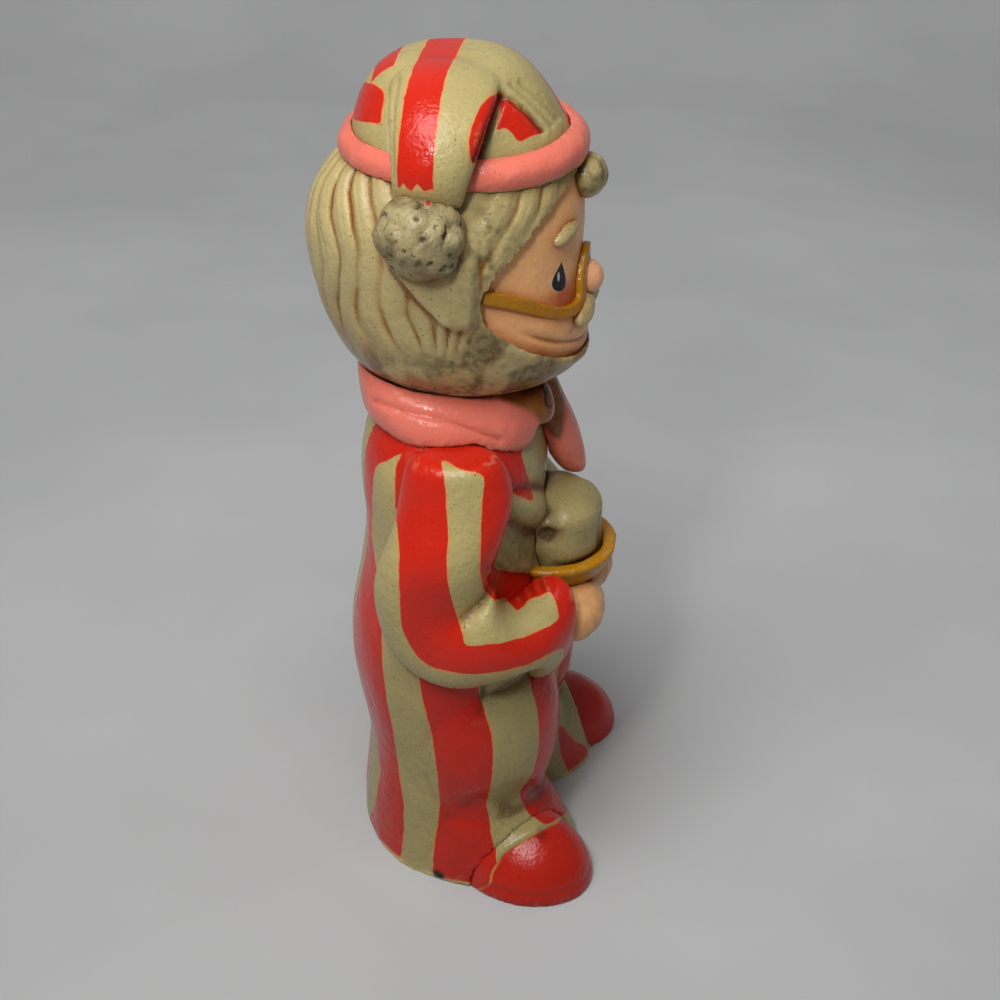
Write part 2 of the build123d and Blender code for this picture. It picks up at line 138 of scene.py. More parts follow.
def copy_of(solid):
    """A loose copy of one solid, with its triangles merged and its labels taken off."""
    alone(frame["nodes"][solid])
    bpy.ops.object.duplicate()
    copy = bpy.context.object
    copy.data.materials.clear()
    for key in [k for k in copy.keys() if k.startswith("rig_")]:
        del copy[key]
    bpy.ops.object.parent_clear(type="CLEAR_KEEP_TRANSFORM")
    bpy.ops.object.mode_set(mode="EDIT")
    bpy.ops.mesh.select_all(action="SELECT")
    bpy.ops.mesh.remove_doubles(threshold=0.01 * MM)
    bpy.ops.object.mode_set(mode="OBJECT")
    return copy


def cast(name, nodes, slot, grain, rounding):
    """One clay piece from the named solids: grain is the voxel in millimetres."""
    copies = [copy_of(solid) for solid in nodes]
    piece = copies[0]
    alone(piece)
    for copy in copies:
        copy.select_set(True)
    if len(copies) > 1:
        bpy.ops.object.join()
    piece.name = name
    piece.data.name = name
    finish_with(piece, "REMESH", mode="VOXEL", voxel_size=grain * MM)
    finish_with(piece, "SMOOTH", factor=0.5, iterations=rounding)
    bpy.ops.object.shade_smooth()
    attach(piece, "root")
    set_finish(piece, slot)
    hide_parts(*nodes)
    pieces[name] = piece
    print(name, len(piece.data.polygons), "faces")
    return piece


# %% [markdown]
# ## Modelling tools for the clay
# Folds, locks and drips are pressed into the clay by moving points along their own normals. The helpers below
# read a piece's points in millimetres, move them, and store drawn masks on the points, so that paint can
# follow the surface. Noise comes from Blender's own seeded noise, so each run gives the same figure.

# %% Reading, moving and marking points
SIZE_LOW, SIZE_HIGH = (np.array(corner) / MM for corner in cad_box)


def points(piece):
    flat = np.empty(len(piece.data.vertices) * 3, np.float32)
    piece.data.vertices.foreach_get("co", flat)
    return flat.reshape(-1, 3).astype(float) / MM


def normals(piece):
    flat = np.empty(len(piece.data.vertices) * 3, np.float32)
    piece.data.vertices.foreach_get("normal", flat)
    return flat.reshape(-1, 3).astype(float)


def press(piece, depth):
    """Moves each point along its normal by depth, in millimetres, and keeps it inside the measured size."""
    place = np.clip(points(piece) + normals(piece) * depth[:, None], SIZE_LOW, SIZE_HIGH)
    piece.data.vertices.foreach_set("co", (place * MM).astype(np.float32).ravel())
    piece.data.update()


def mark(piece, name, values):
    layer = piece.data.attributes.get(name) or piece.data.attributes.new(name, "FLOAT", "POINT")
    layer.data.foreach_set("value", np.asarray(values, np.float32))


def mottle(place, size, seed):
    """Smooth noise from about -1 to 1 with features of the given size in millimetres."""
    shift = Vector((17.3 * seed, 5.1 * seed, 9.7 * seed))
    return np.array([noise.noise(Vector(p) / size + shift) for p in place])


def ramp(values, low, high):
    share = np.clip((values - low) / (high - low), 0, 1)
    return share * share * (3 - 2 * share)


def bump(values, middle, width):
    return np.exp(-(((values - middle) / width) ** 2))


def averaged(piece, values, rounds):
    """Each point's value averaged with its neighbours', over and over."""
    ends = np.empty(len(piece.data.edges) * 2, np.int32)
    piece.data.edges.foreach_get("vertices", ends)
    a, b = ends.reshape(-1, 2).T
    here, there = np.r_[a, b], np.r_[b, a]
    count = np.maximum(np.bincount(here, minlength=len(values)), 1)
    for _ in range(rounds):
        values = np.stack(
            [np.bincount(here, column[there], len(column)) / count for column in values.T], 1
        )
    return values


def knots(along, *pairs):
    """A value that runs straight between a few given pairs of place and value."""
    places, values = zip(*pairs)
    return np.interp(along, places, values)


def bands(across, *edges):
    """Signed distance to the nearest edge, positive in every second band."""
    gaps = across[:, None] - np.stack(np.broadcast_arrays(*edges, across)[:-1], 1)
    nearest = np.abs(gaps).min(1)
    return np.where((gaps > 0).sum(1) % 2 == 1, nearest, -nearest)


def bearing(place):
    """Degrees round the figure's upright axis: 0 in front, -90 on its right side, 180 behind."""
    return np.degrees(np.arctan2(place[:, 0], 1 - place[:, 1]))


print("clay tools ready")

# %% [markdown]
# ## Drawing as the camera sees it
# A stripe edge or a crack could be set out with measures on the figure, but it was found on the photo, so it is
# drawn there: a few corners in pixels, a smooth curve through them, and each point's distance to that curve.

# %% Tools that draw in photo pixels
# A mask value, in millimetres, that is well away from any painted edge.
FAR_OFF = 9
LOOK = (CAMERA_AIM - CAMERA_PLACE).normalized()
RIGHTWARDS = LOOK.cross(Vector((0, 0, 1))).normalized()
UPWARDS = RIGHTWARDS.cross(LOOK)


def seen(piece, folded=True):
    """Each point's place in the photo, and how squarely it faces the camera. Folded, left mirrors right."""
    flip = np.ones((len(piece.data.vertices), 3))
    if folded:
        flip[:, 0] = -np.sign(points(piece)[:, 0])
    offset = points(piece) * flip - np.array(CAMERA_PLACE) / MM
    scale = LENS / SENSOR * PHOTO_PIXELS / (offset @ np.array(LOOK))
    across = PHOTO_PIXELS / 2 + offset @ np.array(RIGHTWARDS) * scale
    down = PHOTO_PIXELS / 2 - offset @ np.array(UPWARDS) * scale
    facing = -(normals(piece) * flip * offset).sum(1) / np.linalg.norm(offset, axis=1)
    return np.stack([across, down], 1), facing


def rounded(corners, closed=True, steps=4):
    """Points along a smooth curve through the corners."""
    ring = np.array(corners, float)
    if closed:
        ring = np.r_[ring[-1:], ring, ring[:2]]
    else:
        ring = np.r_[ring[:1], ring, ring[-1:]]
    curve = []
    for a, b, c, d in zip(ring, ring[1:], ring[2:], ring[3:]):
        for t in np.arange(steps) / steps:
            bend = (2 * a - 5 * b + 4 * c - d) * t**2 + (3 * b - a - 3 * c + d) * t**3
            curve.append(0.5 * (2 * b + (c - a) * t + bend))
    return np.array(curve if closed else curve + [ring[-1]])


def line_distance(spots, starts, ends):
    """Distance in millimetres to the nearest of some straight runs on the photo."""
    nearest = np.full(len(spots), 1e9)
    for a, b in zip(starts, ends):
        run = b - a
        share = np.clip((spots - a) @ run / (run @ run + 1e-9), 0, 1)
        nearest = np.minimum(nearest, np.linalg.norm(spots - a - share[:, None] * run, axis=1))
    return nearest / PIXELS_PER_MM


def drawn(spots, corners):
    """Signed distance in millimetres to an outline drawn on the photo, positive inside it."""
    starts = rounded(corners)
    ends = np.roll(starts, -1, 0)
    inside = np.zeros(len(spots), bool)
    for (ax, ay), (bx, by) in zip(starts, ends):
        reach = ax + (spots[:, 1] - ay) * (bx - ax) / ((by - ay) or 1e-9)
        inside ^= ((ay > spots[:, 1]) != (by > spots[:, 1])) & (spots[:, 0] < reach)
    return line_distance(spots, starts, ends) * np.where(inside, 1, -1)


def stroke(spots, corners):
    """Distance in millimetres to a line drawn on the photo."""
    line = rounded(corners, closed=False)
    return line_distance(spots, line, line[1:])


def away_from(spots, spot, squash=(1, 1)):
    """Distance in millimetres to one spot on the photo."""
    return np.hypot(*((spots - spot) * squash).T) / PIXELS_PER_MM


print("drawing tools ready")

# %% [markdown]
# ## Body
# Trunk, legs and trouser hems are one casting. The cloth of the nightclothes is only hinted at by slow dents,
# so a little noise is pressed in, with a crease above each hem. The stripes are painted, not modelled. Each
# stripe edge is a line from the floor to the shoulder, given by its bearing at a few heights. The mask holds
# the distance to the nearest edge in millimetres, which keeps the edge crisp at any mesh density.

# %% Cast the body and press its creases
body = cast("body_cast", ["body", "right_trouser_hem", "left_trouser_hem"], "striped_red_cream", 0.75, 7)
place = points(body)
spots, facing = seen(body)
ANKLE_CREASE = [(445, 806), (466, 806), (488, 803), (505, 806), (522, 796), (538, 790)]
CREASE_FADES_IN = (438, 470)
HIP_FOLD = [(484, 683), (482, 700), (480, 712)]
SLIPPER_SEAM = [(470, 882), (478, 866), (490, 850), (510, 833), (530, 817), (545, 810), (560, 812), (575, 822)]
SPILT_WAX = [(500, 502), (515, 491), (535, 489), (556, 492), (566, 505), (560, 521), (540, 528), (515, 523)]
DISH_Z = 80
front_facing = ramp(facing, 0, 0.3)
right_half = ramp(-place[:, 0], -2, 1)
crease = bump(stroke(spots, ANKLE_CREASE), 0, 2.6) * front_facing * ramp(spots[:, 0], *CREASE_FADES_IN)
fold = bump(stroke(spots, HIP_FOLD), 0, 0.7) * front_facing
z = place[:, 2]
spilt = np.clip(drawn(spots, SPILT_WAX) / 4, 0, 1) ** 0.5 * front_facing * right_half * (z > DISH_Z)
thigh = bump(np.abs(bearing(place)), 30, 14) * ramp(z, 20, 30) * ramp(-z, -60, -50)
hem_lip = bump(stroke(spots, SLIPPER_SEAM), 0, 1.4) * front_facing
relief = 0.35 * mottle(place, 14, 1) + 0.12 * mottle(place, 5, 2)
press(body, relief - 1.2 * crease - 0.6 * fold + 2.2 * spilt + 1.8 * thigh + 0.5 * hem_lip)
quiet["body_cast"] = hem_lip
print("body points:", len(place))


# %% Lay out the stripes of the trousers
def trouser_stripes(place):
    """Signed distance to the stripe edges, each set by its bearing at a few heights."""
    x, y, z = place.T
    round_to = np.abs(bearing(place))
    reach = np.hypot(x, y - 1) * math.pi / 180
    sway = 1.2 * np.sin(z / 9 + 0.4)
    legs = bands(
        round_to,
        22 + 0 * z,
        knots(z, (0, 57), (14, 56), (21, 59), (31, 55), (41, 52), (55, 52), (70, 50)) + 0.5 * sway,
        knots(z, (0, 71), (10, 70), (24, 73), (36, 72), (46, 72), (55, 75), (70, 76)) + 0.5 * sway,
        knots(z, (0, 94), (10, 93), (22, 91), (34, 92), (44, 94), (55, 97), (70, 99)) + 0.4 * sway,
        knots(z, (0, 110), (10, 108), (18, 108), (28, 111), (40, 112), (55, 115), (85, 120), (115, 118)),
        knots(z, (0, 142), (9, 131), (22, 126), (36, 140), (55, 150), (72, 149), (83, 145), (110, 141)),
        knots(z, (0, 158), (15, 146), (26, 150), (40, 164), (110, 166)),
    )
    return legs * reach


# %% Draw the stripes that the photo shows
FRONT_STRIPE = [
    (529, 655), (531, 685), (537, 709), (539, 738), (537, 758), (530, 778), (520, 793), (527, 811), (537, 822),
    (546, 826), (558, 819), (570, 808), (566, 799), (553, 784), (552, 773), (560, 742), (563, 718), (561, 685),
    (556, 650),
]
NEAR_LEG_EDGE = 557
FAR_HEM_STRIPE = [(560, 726), (574, 740), (588, 750), (588, 780), (579, 793), (570, 775), (560, 752)]
FOREARM_TOP = [(482, 562), (500, 570), (545, 576), (556, 590), (540, 596), (518, 608), (505, 598), (492, 598)]
REAR_CREAM = [
    (402, 454), (388, 460), (377, 467), (373, 488), (372, 528), (372, 557), (374, 587), (372, 610), (360, 640),
    (400, 690), (478, 700), (540, 690), (565, 650), (543, 657), (527, 665), (498, 672), (468, 674), (437, 669),
    (419, 658), (407, 641), (402, 626), (400, 606), (399, 577), (399, 547), (396, 518), (395, 488), (396, 466),
]
CHEST_BAR = [
    (543, 433), (550, 433), (558, 443), (564, 457), (567, 478), (560, 484), (551, 483), (550, 466), (546, 449),
]
YOKE = [
    (518, 440), (522, 457), (528, 476), (533, 499), (525, 499), (516, 495), (503, 485), (480, 474), (440, 470),
    (396, 480), (360, 500), (352, 440), (372, 405), (420, 405), (480, 425),
]
HEM_Z, LOIN_Z, BELLY_Z, ARMPIT_Z, YOKE_Z = 24, 66, 70, 84, 101
FRONT_TURN, SIDE_TURN, BACK_TURN = 62, 100, 141
place = points(body)
x, y, z = place.T
round_to = np.abs(bearing(place))
spots, facing = seen(body)
stripes = trouser_stripes(place)
front = (round_to < FRONT_TURN) & (z < LOIN_Z) & (facing > 0)
beside = np.where(round_to > FRONT_TURN - 2, stripes, -FAR_OFF)
stripes = np.where(front, np.maximum(beside, drawn(spots, FRONT_STRIPE)), stripes)
far_spots, far_facing = seen(body, folded=False)
far_hem = (x > 2) & (far_facing > -0.1) & (z < HEM_Z) & (y < 0) & (far_spots[:, 0] > NEAR_LEG_EDGE)
stripes = np.where(far_hem, drawn(far_spots, FAR_HEM_STRIPE), stripes)
chest = (z > LOIN_Z) & (round_to < SIDE_TURN)
above = np.maximum.reduce([drawn(spots, shape) for shape in (CHEST_BAR, YOKE, FOREARM_TOP)])
stripes = np.where(chest, np.where((facing > 0) & (z > BELLY_Z), above, -FAR_OFF), stripes)
shoulder = (z > ARMPIT_Z) & (round_to >= SIDE_TURN) & (round_to < BACK_TURN)
stripes = np.where(shoulder, np.maximum(stripes, z - YOKE_Z), stripes)
wedge_end = 92 - z - 0.8 * (BACK_TURN - round_to)
behind_arm = np.maximum(-drawn(spots, REAR_CREAM), wedge_end)
behind_arm = np.where((facing > 0) & (round_to < BACK_TURN), behind_arm, FAR_OFF)
stripes = np.where(z > LOIN_Z, np.minimum(stripes, behind_arm), stripes)
mark(body, "stripe", stripes)
print("red share of the body:", round(float((stripes > 0).mean()), 2))

# %% Chips, bare plaster, pooled varnish and painted shade on the body
BASE_CHIP = [(433, 870), (441, 872), (445, 878), (436, 878)]
HEM_CHIP = [(563, 806), (570, 798), (572, 801), (566, 808)]
NECK_GAP = [(500, 397), (518, 386), (540, 374), (560, 372), (564, 400), (560, 436), (548, 430), (528, 410)]
CROOK_SHADE_LINE = [(484, 560), (500, 567), (520, 572), (540, 576)]
BIB = [(500, 500), (530, 520), (545, 560), (520, 570), (495, 562), (498, 530)]
ANKLE_SHADE_SPOT, HEM_SHADE_SPOT = (505, 795), (548, 796)
toe_side = ramp(bearing(place), -100, -60) * ramp(-bearing(place), 40, 60)
bare = 0.9 + 0.9 * mottle(place, 6, 30) + 1.2 * toe_side
mark(body, "plaster", ramp(bare - z, -0.4, 0.4))
chips = np.maximum(drawn(spots, BASE_CHIP), drawn(spots, HEM_CHIP))
mark(body, "chip", ramp(chips, -0.3, 0.3) * (facing > 0) * (x < 0))
pool = ramp(drawn(spots, NECK_GAP), -1.5, 1.0) * (z > 100)
around_wax = bump(drawn(spots, SPILT_WAX), -0.6, 1.6) * front_facing * right_half * (z > DISH_Z)
mark(body, "wash", np.maximum(pool, around_wax * 0.9) * (y < 0))
# Painted shade: a dark line in the crook above the forearm, darker spots at the ankle crease and the hem, and a
# dark line in the hip fold. The bib is a grey patch on the chest.
bib = 0.6 * ramp(drawn(spots, BIB), -1, 3) * (z > BELLY_Z + 4)
crook_shade = bump(stroke(spots, CROOK_SHADE_LINE), 0, 1.3) * (z > BELLY_Z + 4)
rubbing_and_shade = 0.3 * bump(away_from(spots, ANKLE_SHADE_SPOT, squash=(1, 0.8)), 0, 4)
rubbing_and_shade = np.maximum(rubbing_and_shade, 0.5 * bump(away_from(spots, HEM_SHADE_SPOT), 0, 3))
mark(body, "stain_and_shade", np.maximum.reduce([bib, crook_shade, rubbing_and_shade, 0.5 * fold]) * front_facing)
print("masks on the body:", [layer.name for layer in body.data.attributes if layer.data_type == "FLOAT"])

# %% [markdown]
# ## Slippers
# The slippers are round glossy toes, with a faint groove a few millimetres above the floor where the sole
# would start, and with painted shade and dark scuffs just below the hem edge, where the hem overhangs and rubs
# on them.

# %% Cast the slippers
HEM_OVER_SLIPPER = [
    (455, 892), (486, 886), (492, 872), (503, 855), (522, 842), (542, 831), (560, 820), (584, 812), (584, 800),
    (540, 800), (490, 835), (460, 870),
]
HEM_RED_ENDS = 497
SHADE_AND_SCUFF_FADES_IN = (520, 545)
for side in ("right", "left"):
    slipper = cast(side + "_slipper_cast", [side + "_slipper"], "red_slipper", 0.5, 6)
    place = points(slipper)
    sole = bump(place[:, 2] - 0.4 * mottle(place, 9, 4), 3.4, 0.5)
    spots, facing = seen(slipper)
    near = ramp(facing, 0.05, 0.3) * (side == "right")
    hem_step = ramp(drawn(spots, HEM_OVER_SLIPPER), -0.3, 0.7) * near
    lip = hem_step * ramp(place[:, 2], 2, 9)
    press(slipper, 0.2 * mottle(place, 8, 5) - 0.25 * sole * (1 - hem_step) + 0.7 * lip)
    quiet[slipper.name] = hem_step
    hem_side = np.where(near > 0, drawn(spots, HEM_OVER_SLIPPER), -FAR_OFF)
    red_side = np.maximum(drawn(spots, FRONT_STRIPE), HEM_RED_ENDS - spots[:, 0])
    mark(slipper, "hem", hem_side)
    mark(slipper, "stripe", red_side)
    # Painted shade and scuffs: a dark band just below the hem edge on the near slipper.
    shaded = bump(hem_side, -0.5, 1.5) * ramp(spots[:, 0], *SHADE_AND_SCUFF_FADES_IN)
    mark(slipper, "stain_and_shade", 0.9 * shaded * ramp(mottle(place, 5, 31), -0.4, 0.3))

# %% [markdown]
# ## Sleeves
# A sleeve hangs from the shoulder, turns at the elbow and comes forward to the dish. Its cream stripes are
# drawn on the photo. Behind the arm, where the photo doesn't reach, a stripe follows the angle round the
# sleeve, which comes from the nearest point of a smooth line through its middle.

# %% Measure along the arm
ARM_MIDDLE = [
    (29.5, -2.5, 121), (29.5, -2.5, 116.5), (33.8, 0, 95.5), (33.8, 2.5, 87), (33.8, -0.6, 74.6),
    (33.8, -13, 71.5), (25.7, -19.5, 68.8), (17.3, -22, 66.5), (10, -25, 65),
]


def round_the_arm(place):
    """Degrees round the sleeve: 0 outwards, 90 behind and below, -90 in front."""
    mirrored = place * np.array([np.sign(place[:, 0].mean()), 1, 1])
    line = rounded(ARM_MIDDLE, closed=False, steps=20)
    heading = np.gradient(line, axis=0)
    heading /= np.linalg.norm(heading, axis=1)[:, None]
    nearest = np.concatenate(
        [((chunk[:, None] - line[None]) ** 2).sum(2).argmin(1) for chunk in np.array_split(mirrored, 40)]
    )
    ahead = heading[nearest]
    outward = np.array([1.0, 0, 0]) - ahead * ahead[:, :1]
    outward /= np.linalg.norm(outward, axis=1)[:, None]
    offset = mirrored - line[nearest]
    behind = (offset * np.cross(outward, ahead)).sum(1)
    return np.degrees(np.arctan2(behind, (offset * outward).sum(1)))


print("arm line:", len(ARM_MIDDLE), "points")

# %% Cast the sleeves and draw their stripes
FRONT_CREAM = [
    (443, 461), (462, 470), (483, 477), (482, 508), (481, 538), (480, 567), (482, 585), (488, 594), (495, 600),
    (504, 598), (512, 606), (518, 610), (525, 605), (528, 600), (540, 596), (549, 592), (554, 598), (558, 611),
    (557, 621), (540, 630), (524, 637), (502, 643), (484, 645), (466, 645), (462, 632), (454, 607), (449, 589),
    (447, 567), (448, 543), (447, 518), (446, 498), (444, 478),
]
SLEEVE_BACK = 390
CROOK_SHADOW_SPOT = (490, 568)
SLEEVE_YOKE_Z = 112
for side in ("right", "left"):
    sleeve = cast(side + "_sleeve_cast", [side + "_sleeve"], "striped_red_cream", 0.5, 9)
    place = points(sleeve)
    spots, facing = seen(sleeve)
    top = ramp(drawn(spots, FOREARM_TOP), -0.5, 2.0) * ramp(facing, 0, 0.2)
    ripple = np.sin(spots[:, 0] * 0.5 - 0.22 * spots[:, 1] + 2.2 * mottle(place, 6, 32))
    press(sleeve, 0.3 * mottle(place, 11, 6) + 0.4 * ripple * top)
    spots, facing = seen(sleeve)
    cream = np.maximum(drawn(spots, REAR_CREAM), drawn(spots, FRONT_CREAM))
    cream = np.maximum(cream, np.where(spots[:, 0] < SLEEVE_BACK, 1, -FAR_OFF))
    place = points(sleeve)
    angle = round_the_arm(place)
    hidden = bands(angle, 105, 150) * 0.2
    yoke = place[:, 2] - SLEEVE_YOKE_Z
    hidden = np.where(angle > 60, np.maximum(hidden, yoke), np.where(angle > -60, -2, 2))
    mark(sleeve, "stripe", np.where(facing > -0.05, -cream, hidden))
    # Painted shadow: a dark spot in the crook behind the top of the forearm.
    mark(sleeve, "stain_and_shade", 0.7 * bump(away_from(spots, CROOK_SHADOW_SPOT), 0, 2.1) * (facing > 0))

# %% [markdown]
# ## Dish, candle and hands
# The hands sit under a small gilt dish with a fat candle stub. Wax has run over the top of the stub and down
# its sides, which is modelled by swelling the stub in a few places and letting the swelling run out downwards.

# %% Cast the dish
dish = cast("candle_dish_cast", ["candle_dish"], "gilt", 0.4, 5)
place = points(dish)
press(dish, 0.2 * mottle(place, 6, 7) + 0.5 * ramp(place[:, 2], 76, 78))

# %% Let the wax run down the candle
CANDLE_Y, CANDLE_RADIUS, CANDLE_SHOULDER_Z = -20, 10.6, 88
WAX_RUNS = ((-130, 36, 79), (-42, 36, 78), (22, 26, 70), (84, 30, 70), (152, 30, 72))
CLEFT_TURN = -88
candle = cast("candle_cast", ["candle"], "wax_cream", 0.45, 10)
place = points(candle)
x, y, z = (place - np.array([0, CANDLE_Y, 0])).T
turn = np.degrees(np.arctan2(x, -y))
runs = np.zeros(len(place))
for heading, width, low in WAX_RUNS:
    off = (turn - heading + 180) % 360 - 180
    runs = np.maximum(runs, np.exp(-((off / width) ** 4)) * ramp(z, low - 2, low + 2))
reach = np.hypot(x, y)
rim = ramp(reach, 3, 9)
cleft_top = ramp(z, 82, 86) * rim
cleft = 1.6 * bump(turn, CLEFT_TURN, 16) * cleft_top
wanted = np.where((reach > 9) & (z < CANDLE_SHOULDER_Z), CANDLE_RADIUS + 1.7 * runs, 0)
grow = np.maximum(wanted / np.maximum(reach, 1), 1)
filled = np.stack([x * grow, y * grow + CANDLE_Y, z], 1)
candle.data.vertices.foreach_set("co", (filled * MM).astype(np.float32).ravel())
finish_with(candle, "SMOOTH", factor=0.5, iterations=8)
press(candle, 0.4 * runs * rim - cleft + 0.3 * mottle(place, 6, 8))
mark(candle, "stain_and_shade", 0.7 * bump(turn, CLEFT_TURN, 14) * cleft_top)
mark(candle, "wash", 0.6 * ramp(-z, -80, -74))

# %% Cast the hands
FINGER_PITCH = 4.2
for side in ("right", "left"):
    hand = cast(side + "_hand_cast", [side + "_hand"], "flesh", 0.5, 8)
    place = points(hand)
    x, y, z = place.T
    fingers = np.cos((np.abs(x) - 1.5) / FINGER_PITCH * 2 * math.pi)
    mark(hand, "stain_and_shade", np.full(len(place), 0.4))
    press(hand, 0.12 * fingers * ramp(-y, 27, 32) + 0.15 * mottle(place, 5, 9))

# %% [markdown]
# ## Collar and lapels
# A thick pink roll lies round the neck and opens in front into two lapels. A slow dent along the roll and a
# soft groove near its lower edge keep it from looking turned on a lathe.

# %% Cast the collar
collar = cast("collar_cast", ["collar", "left_lapel"], "pink_trim", 0.5, 9)
place = points(collar)
spots, facing = seen(collar)
COLLAR_GROOVE = [(374, 401), (408, 412), (450, 421), (480, 432), (500, 440)]
groove = bump(stroke(spots, COLLAR_GROOVE), 0, 1.0) * ramp(facing, 0, 0.3)
press(collar, 0.4 * mottle(place, 10, 11) + 0.1 * mottle(place, 3, 12) - 0.6 * groove)
CRACKS = ([(537, 381), (545, 391), (546, 403), (551, 407)], [(541, 377), (548, 383), (547, 390)])
spots, facing = seen(collar, folded=False)
crack = np.minimum.reduce([stroke(spots, line) for line in CRACKS])
mark(collar, "chip", ramp(-crack, -0.45, -0.2) * (facing > 0.15))
gap = np.where(facing > 0.15, drawn(spots, NECK_GAP), -FAR_OFF)
mark(collar, "rim", gap)
mark(collar, "wash", ramp(gap, -1.2, 0.6))

# %% [markdown]
# ## Head, hair and beard
# The head is a smooth egg with soft cheeks, and a shallow groove runs along the jaw inside the beard. Hair and
# beard are one shell of plaster, combed in locks that flow down the back to the nape and sweep back from the
# forehead. A lock is a groove whose line leans with its place on the head. Noise bends the grooves so that no
# two locks match. Below the pompom one smooth lock tapers down over the others.

# %% Cast the head
FACE_MIDDLE_Z, FACE_HALF_WIDTH, FACE_HALF_HEIGHT = 152.5, 28.2, 21.0
NECK_Z, CHEEK_X, CHEEK_Z = 126, 17, 143
MOUTH = [(569, 332), (574, 327), (578, 326)]
head = cast("head_cast", ["head"], "flesh", 0.55, 6)
place = points(head)
x, y, z = place.T
ring = np.hypot(x / FACE_HALF_WIDTH, (z - FACE_MIDDLE_Z) / FACE_HALF_HEIGHT)
jaw = bump(ring, 0.86, 0.035) * ramp(-z, -146, -140) * ramp(-y, 4, 10)
cheek = bump(np.hypot(np.abs(x) - CHEEK_X, z - CHEEK_Z), 0, 6) * (y < 0)
press(head, 0.9 * cheek - 0.7 * jaw + 0.12 * mottle(place, 7, 33))
place = points(head)
x, y, z = place.T
spots, facing = seen(head)
bar_z = knots(np.abs(x), (9, 144.5), (20, 148), (28, 153.6))
under_eye = ramp(z, bar_z - 1, bar_z + 1) * ramp(-z, -153.5, -148.5) * ramp(-np.abs(x), -22, -13)
rim_wash = ramp(ring, 0.84, 0.95) * ramp(-z, -150, -138) * (y < 0)
mark(head, "wash", np.maximum(0.9 * under_eye, 0.4 * rim_wash) * (y < -5) + 1.0 * (z < NECK_Z))
mark(head, "stain_and_shade", ramp(-stroke(spots, MOUTH), -0.6, -0.2) * (facing > 0) * 0.7)
print("head points:", len(place))

# %% Cast hair and comb it
LOCK_TURN, STRAND_TURN = 13, 3.9
LOCK_DEPTH, STRAND_DEPTH, LOBE_RISE = 1.0, 0.16, 2.4
hair = cast("hair_cast", ["hair", "beard"], "hair_cream", 0.5, 12)
place = points(hair)
x, y, z = place.T
round_to = np.abs(bearing(place))
temple = ramp(-round_to, -100, -70)
flow = round_to + (1.5 * temple - 0.6 * (1 - temple)) * (z - 160) + (1 - temple) * 5 * np.sin((z - 148) / 9)
bent = flow + 9 * mottle(place, 20, 13) + 1.5 * mottle(place, 6, 14)
lock = np.abs((bent / LOCK_TURN) % 1 - 0.5) * 2
strand = np.abs((bent / STRAND_TURN + 0.3) % 1 - 0.5) * 2
ring = np.hypot(x / FACE_HALF_WIDTH, (z - FACE_MIDDLE_Z) / FACE_HALF_HEIGHT)
comb = ramp(z, 134, 148) * (0.75 + 0.5 * mottle(place, 16, 15)) * np.where(y < -4, ramp(ring, 1.0, 1.15), 1)
grooves = LOCK_DEPTH * bump(lock, 1, 0.42) + STRAND_DEPTH * bump(strand, 1, 0.4)
taper = knots(z, (145, 2.5), (150, 5), (160, 9.5), (166, 9.5))
middle = knots(z, (145, -4.5), (160, 1.5), (166, 2.5))
lobe = ramp(taper - np.abs(y - middle), -0.5, 2.5) * ramp(z, 145, 149) * ramp(-z, -167, -160) * (x < 0)
rim = bump(ring, 1.06, 0.05) * (y < -6)
swell = comb * (0.5 - grooves) * (1 - 0.92 * lobe) + LOBE_RISE * lobe
press(hair, swell + 0.4 * rim * ramp(-z, -150, -136) + 0.2 * mottle(place, 7, 34) - 0.25)

# %% Stain the hair
HAIR_SMEAR = (475, 350)
low = ramp(-z, -146, -128)
smudge = ramp(mottle(place, 7, 35) + 0.5 * mottle(place, 2.2, 36), -0.4, 0.4)
beside_pompom = bump(np.hypot(y + 8.5, (z - 164) * 0.6), 0, 5) * (x < 0)
beside_pompom *= ramp(mottle(place, 1.5, 37), -0.1, 0.5)
spots, facing = seen(hair)
smear = bump(away_from(spots, HAIR_SMEAR, squash=(0.5, 1)), 0, 4.76) * (facing > 0) * smudge
mark(hair, "stain_and_shade", np.clip(low * smudge + smear + 0.8 * beside_pompom + 0.35 * smudge * temple, 0, 1))
runs = ramp(mottle(place * np.array([1, 1, 0.25]), 6, 38), -0.15, 0.4) * ramp(-z, -152, -130)
mark(hair, "wash", 0.6 * runs)
print("hair points:", len(place))

# %% Cast moustache, brows, forelock, nose and spectacles
for solid, slot, dent in (
    ("moustache", "hair_cream", 0.3),
    ("eyebrows", "hair_cream", 0.25),
    ("forelock", "hair_cream", 0.3),
    ("nose", "nose_pink", 0.06),
    ("spectacles", "gilt", 0.08),
):
    piece = cast(solid + "_cast", [solid], slot, 0.3, 5)
    press(piece, dent * mottle(points(piece), 2.5, 18))
    if solid == "forelock":
        mark(piece, "stain_and_shade", 0.3 + 0.7 * ramp(mottle(points(piece), 3, 41), -0.3, 0.3))

# %% [markdown]
# ## Nightcap
# The cap is a low crown over a rolled cuff. Its tail folds over to the right and ends in a knobbly pompom. In
# front of the tail the cloth gathers in a pocket that shows the red of the next stripe, with pleats that fan
# out to the cuff. Crown and tail are one piece of cloth, so they are cast as one. What the photo shows of its
# stripes is drawn on it, and on the far side the same stripes run on over the crown and down the back.

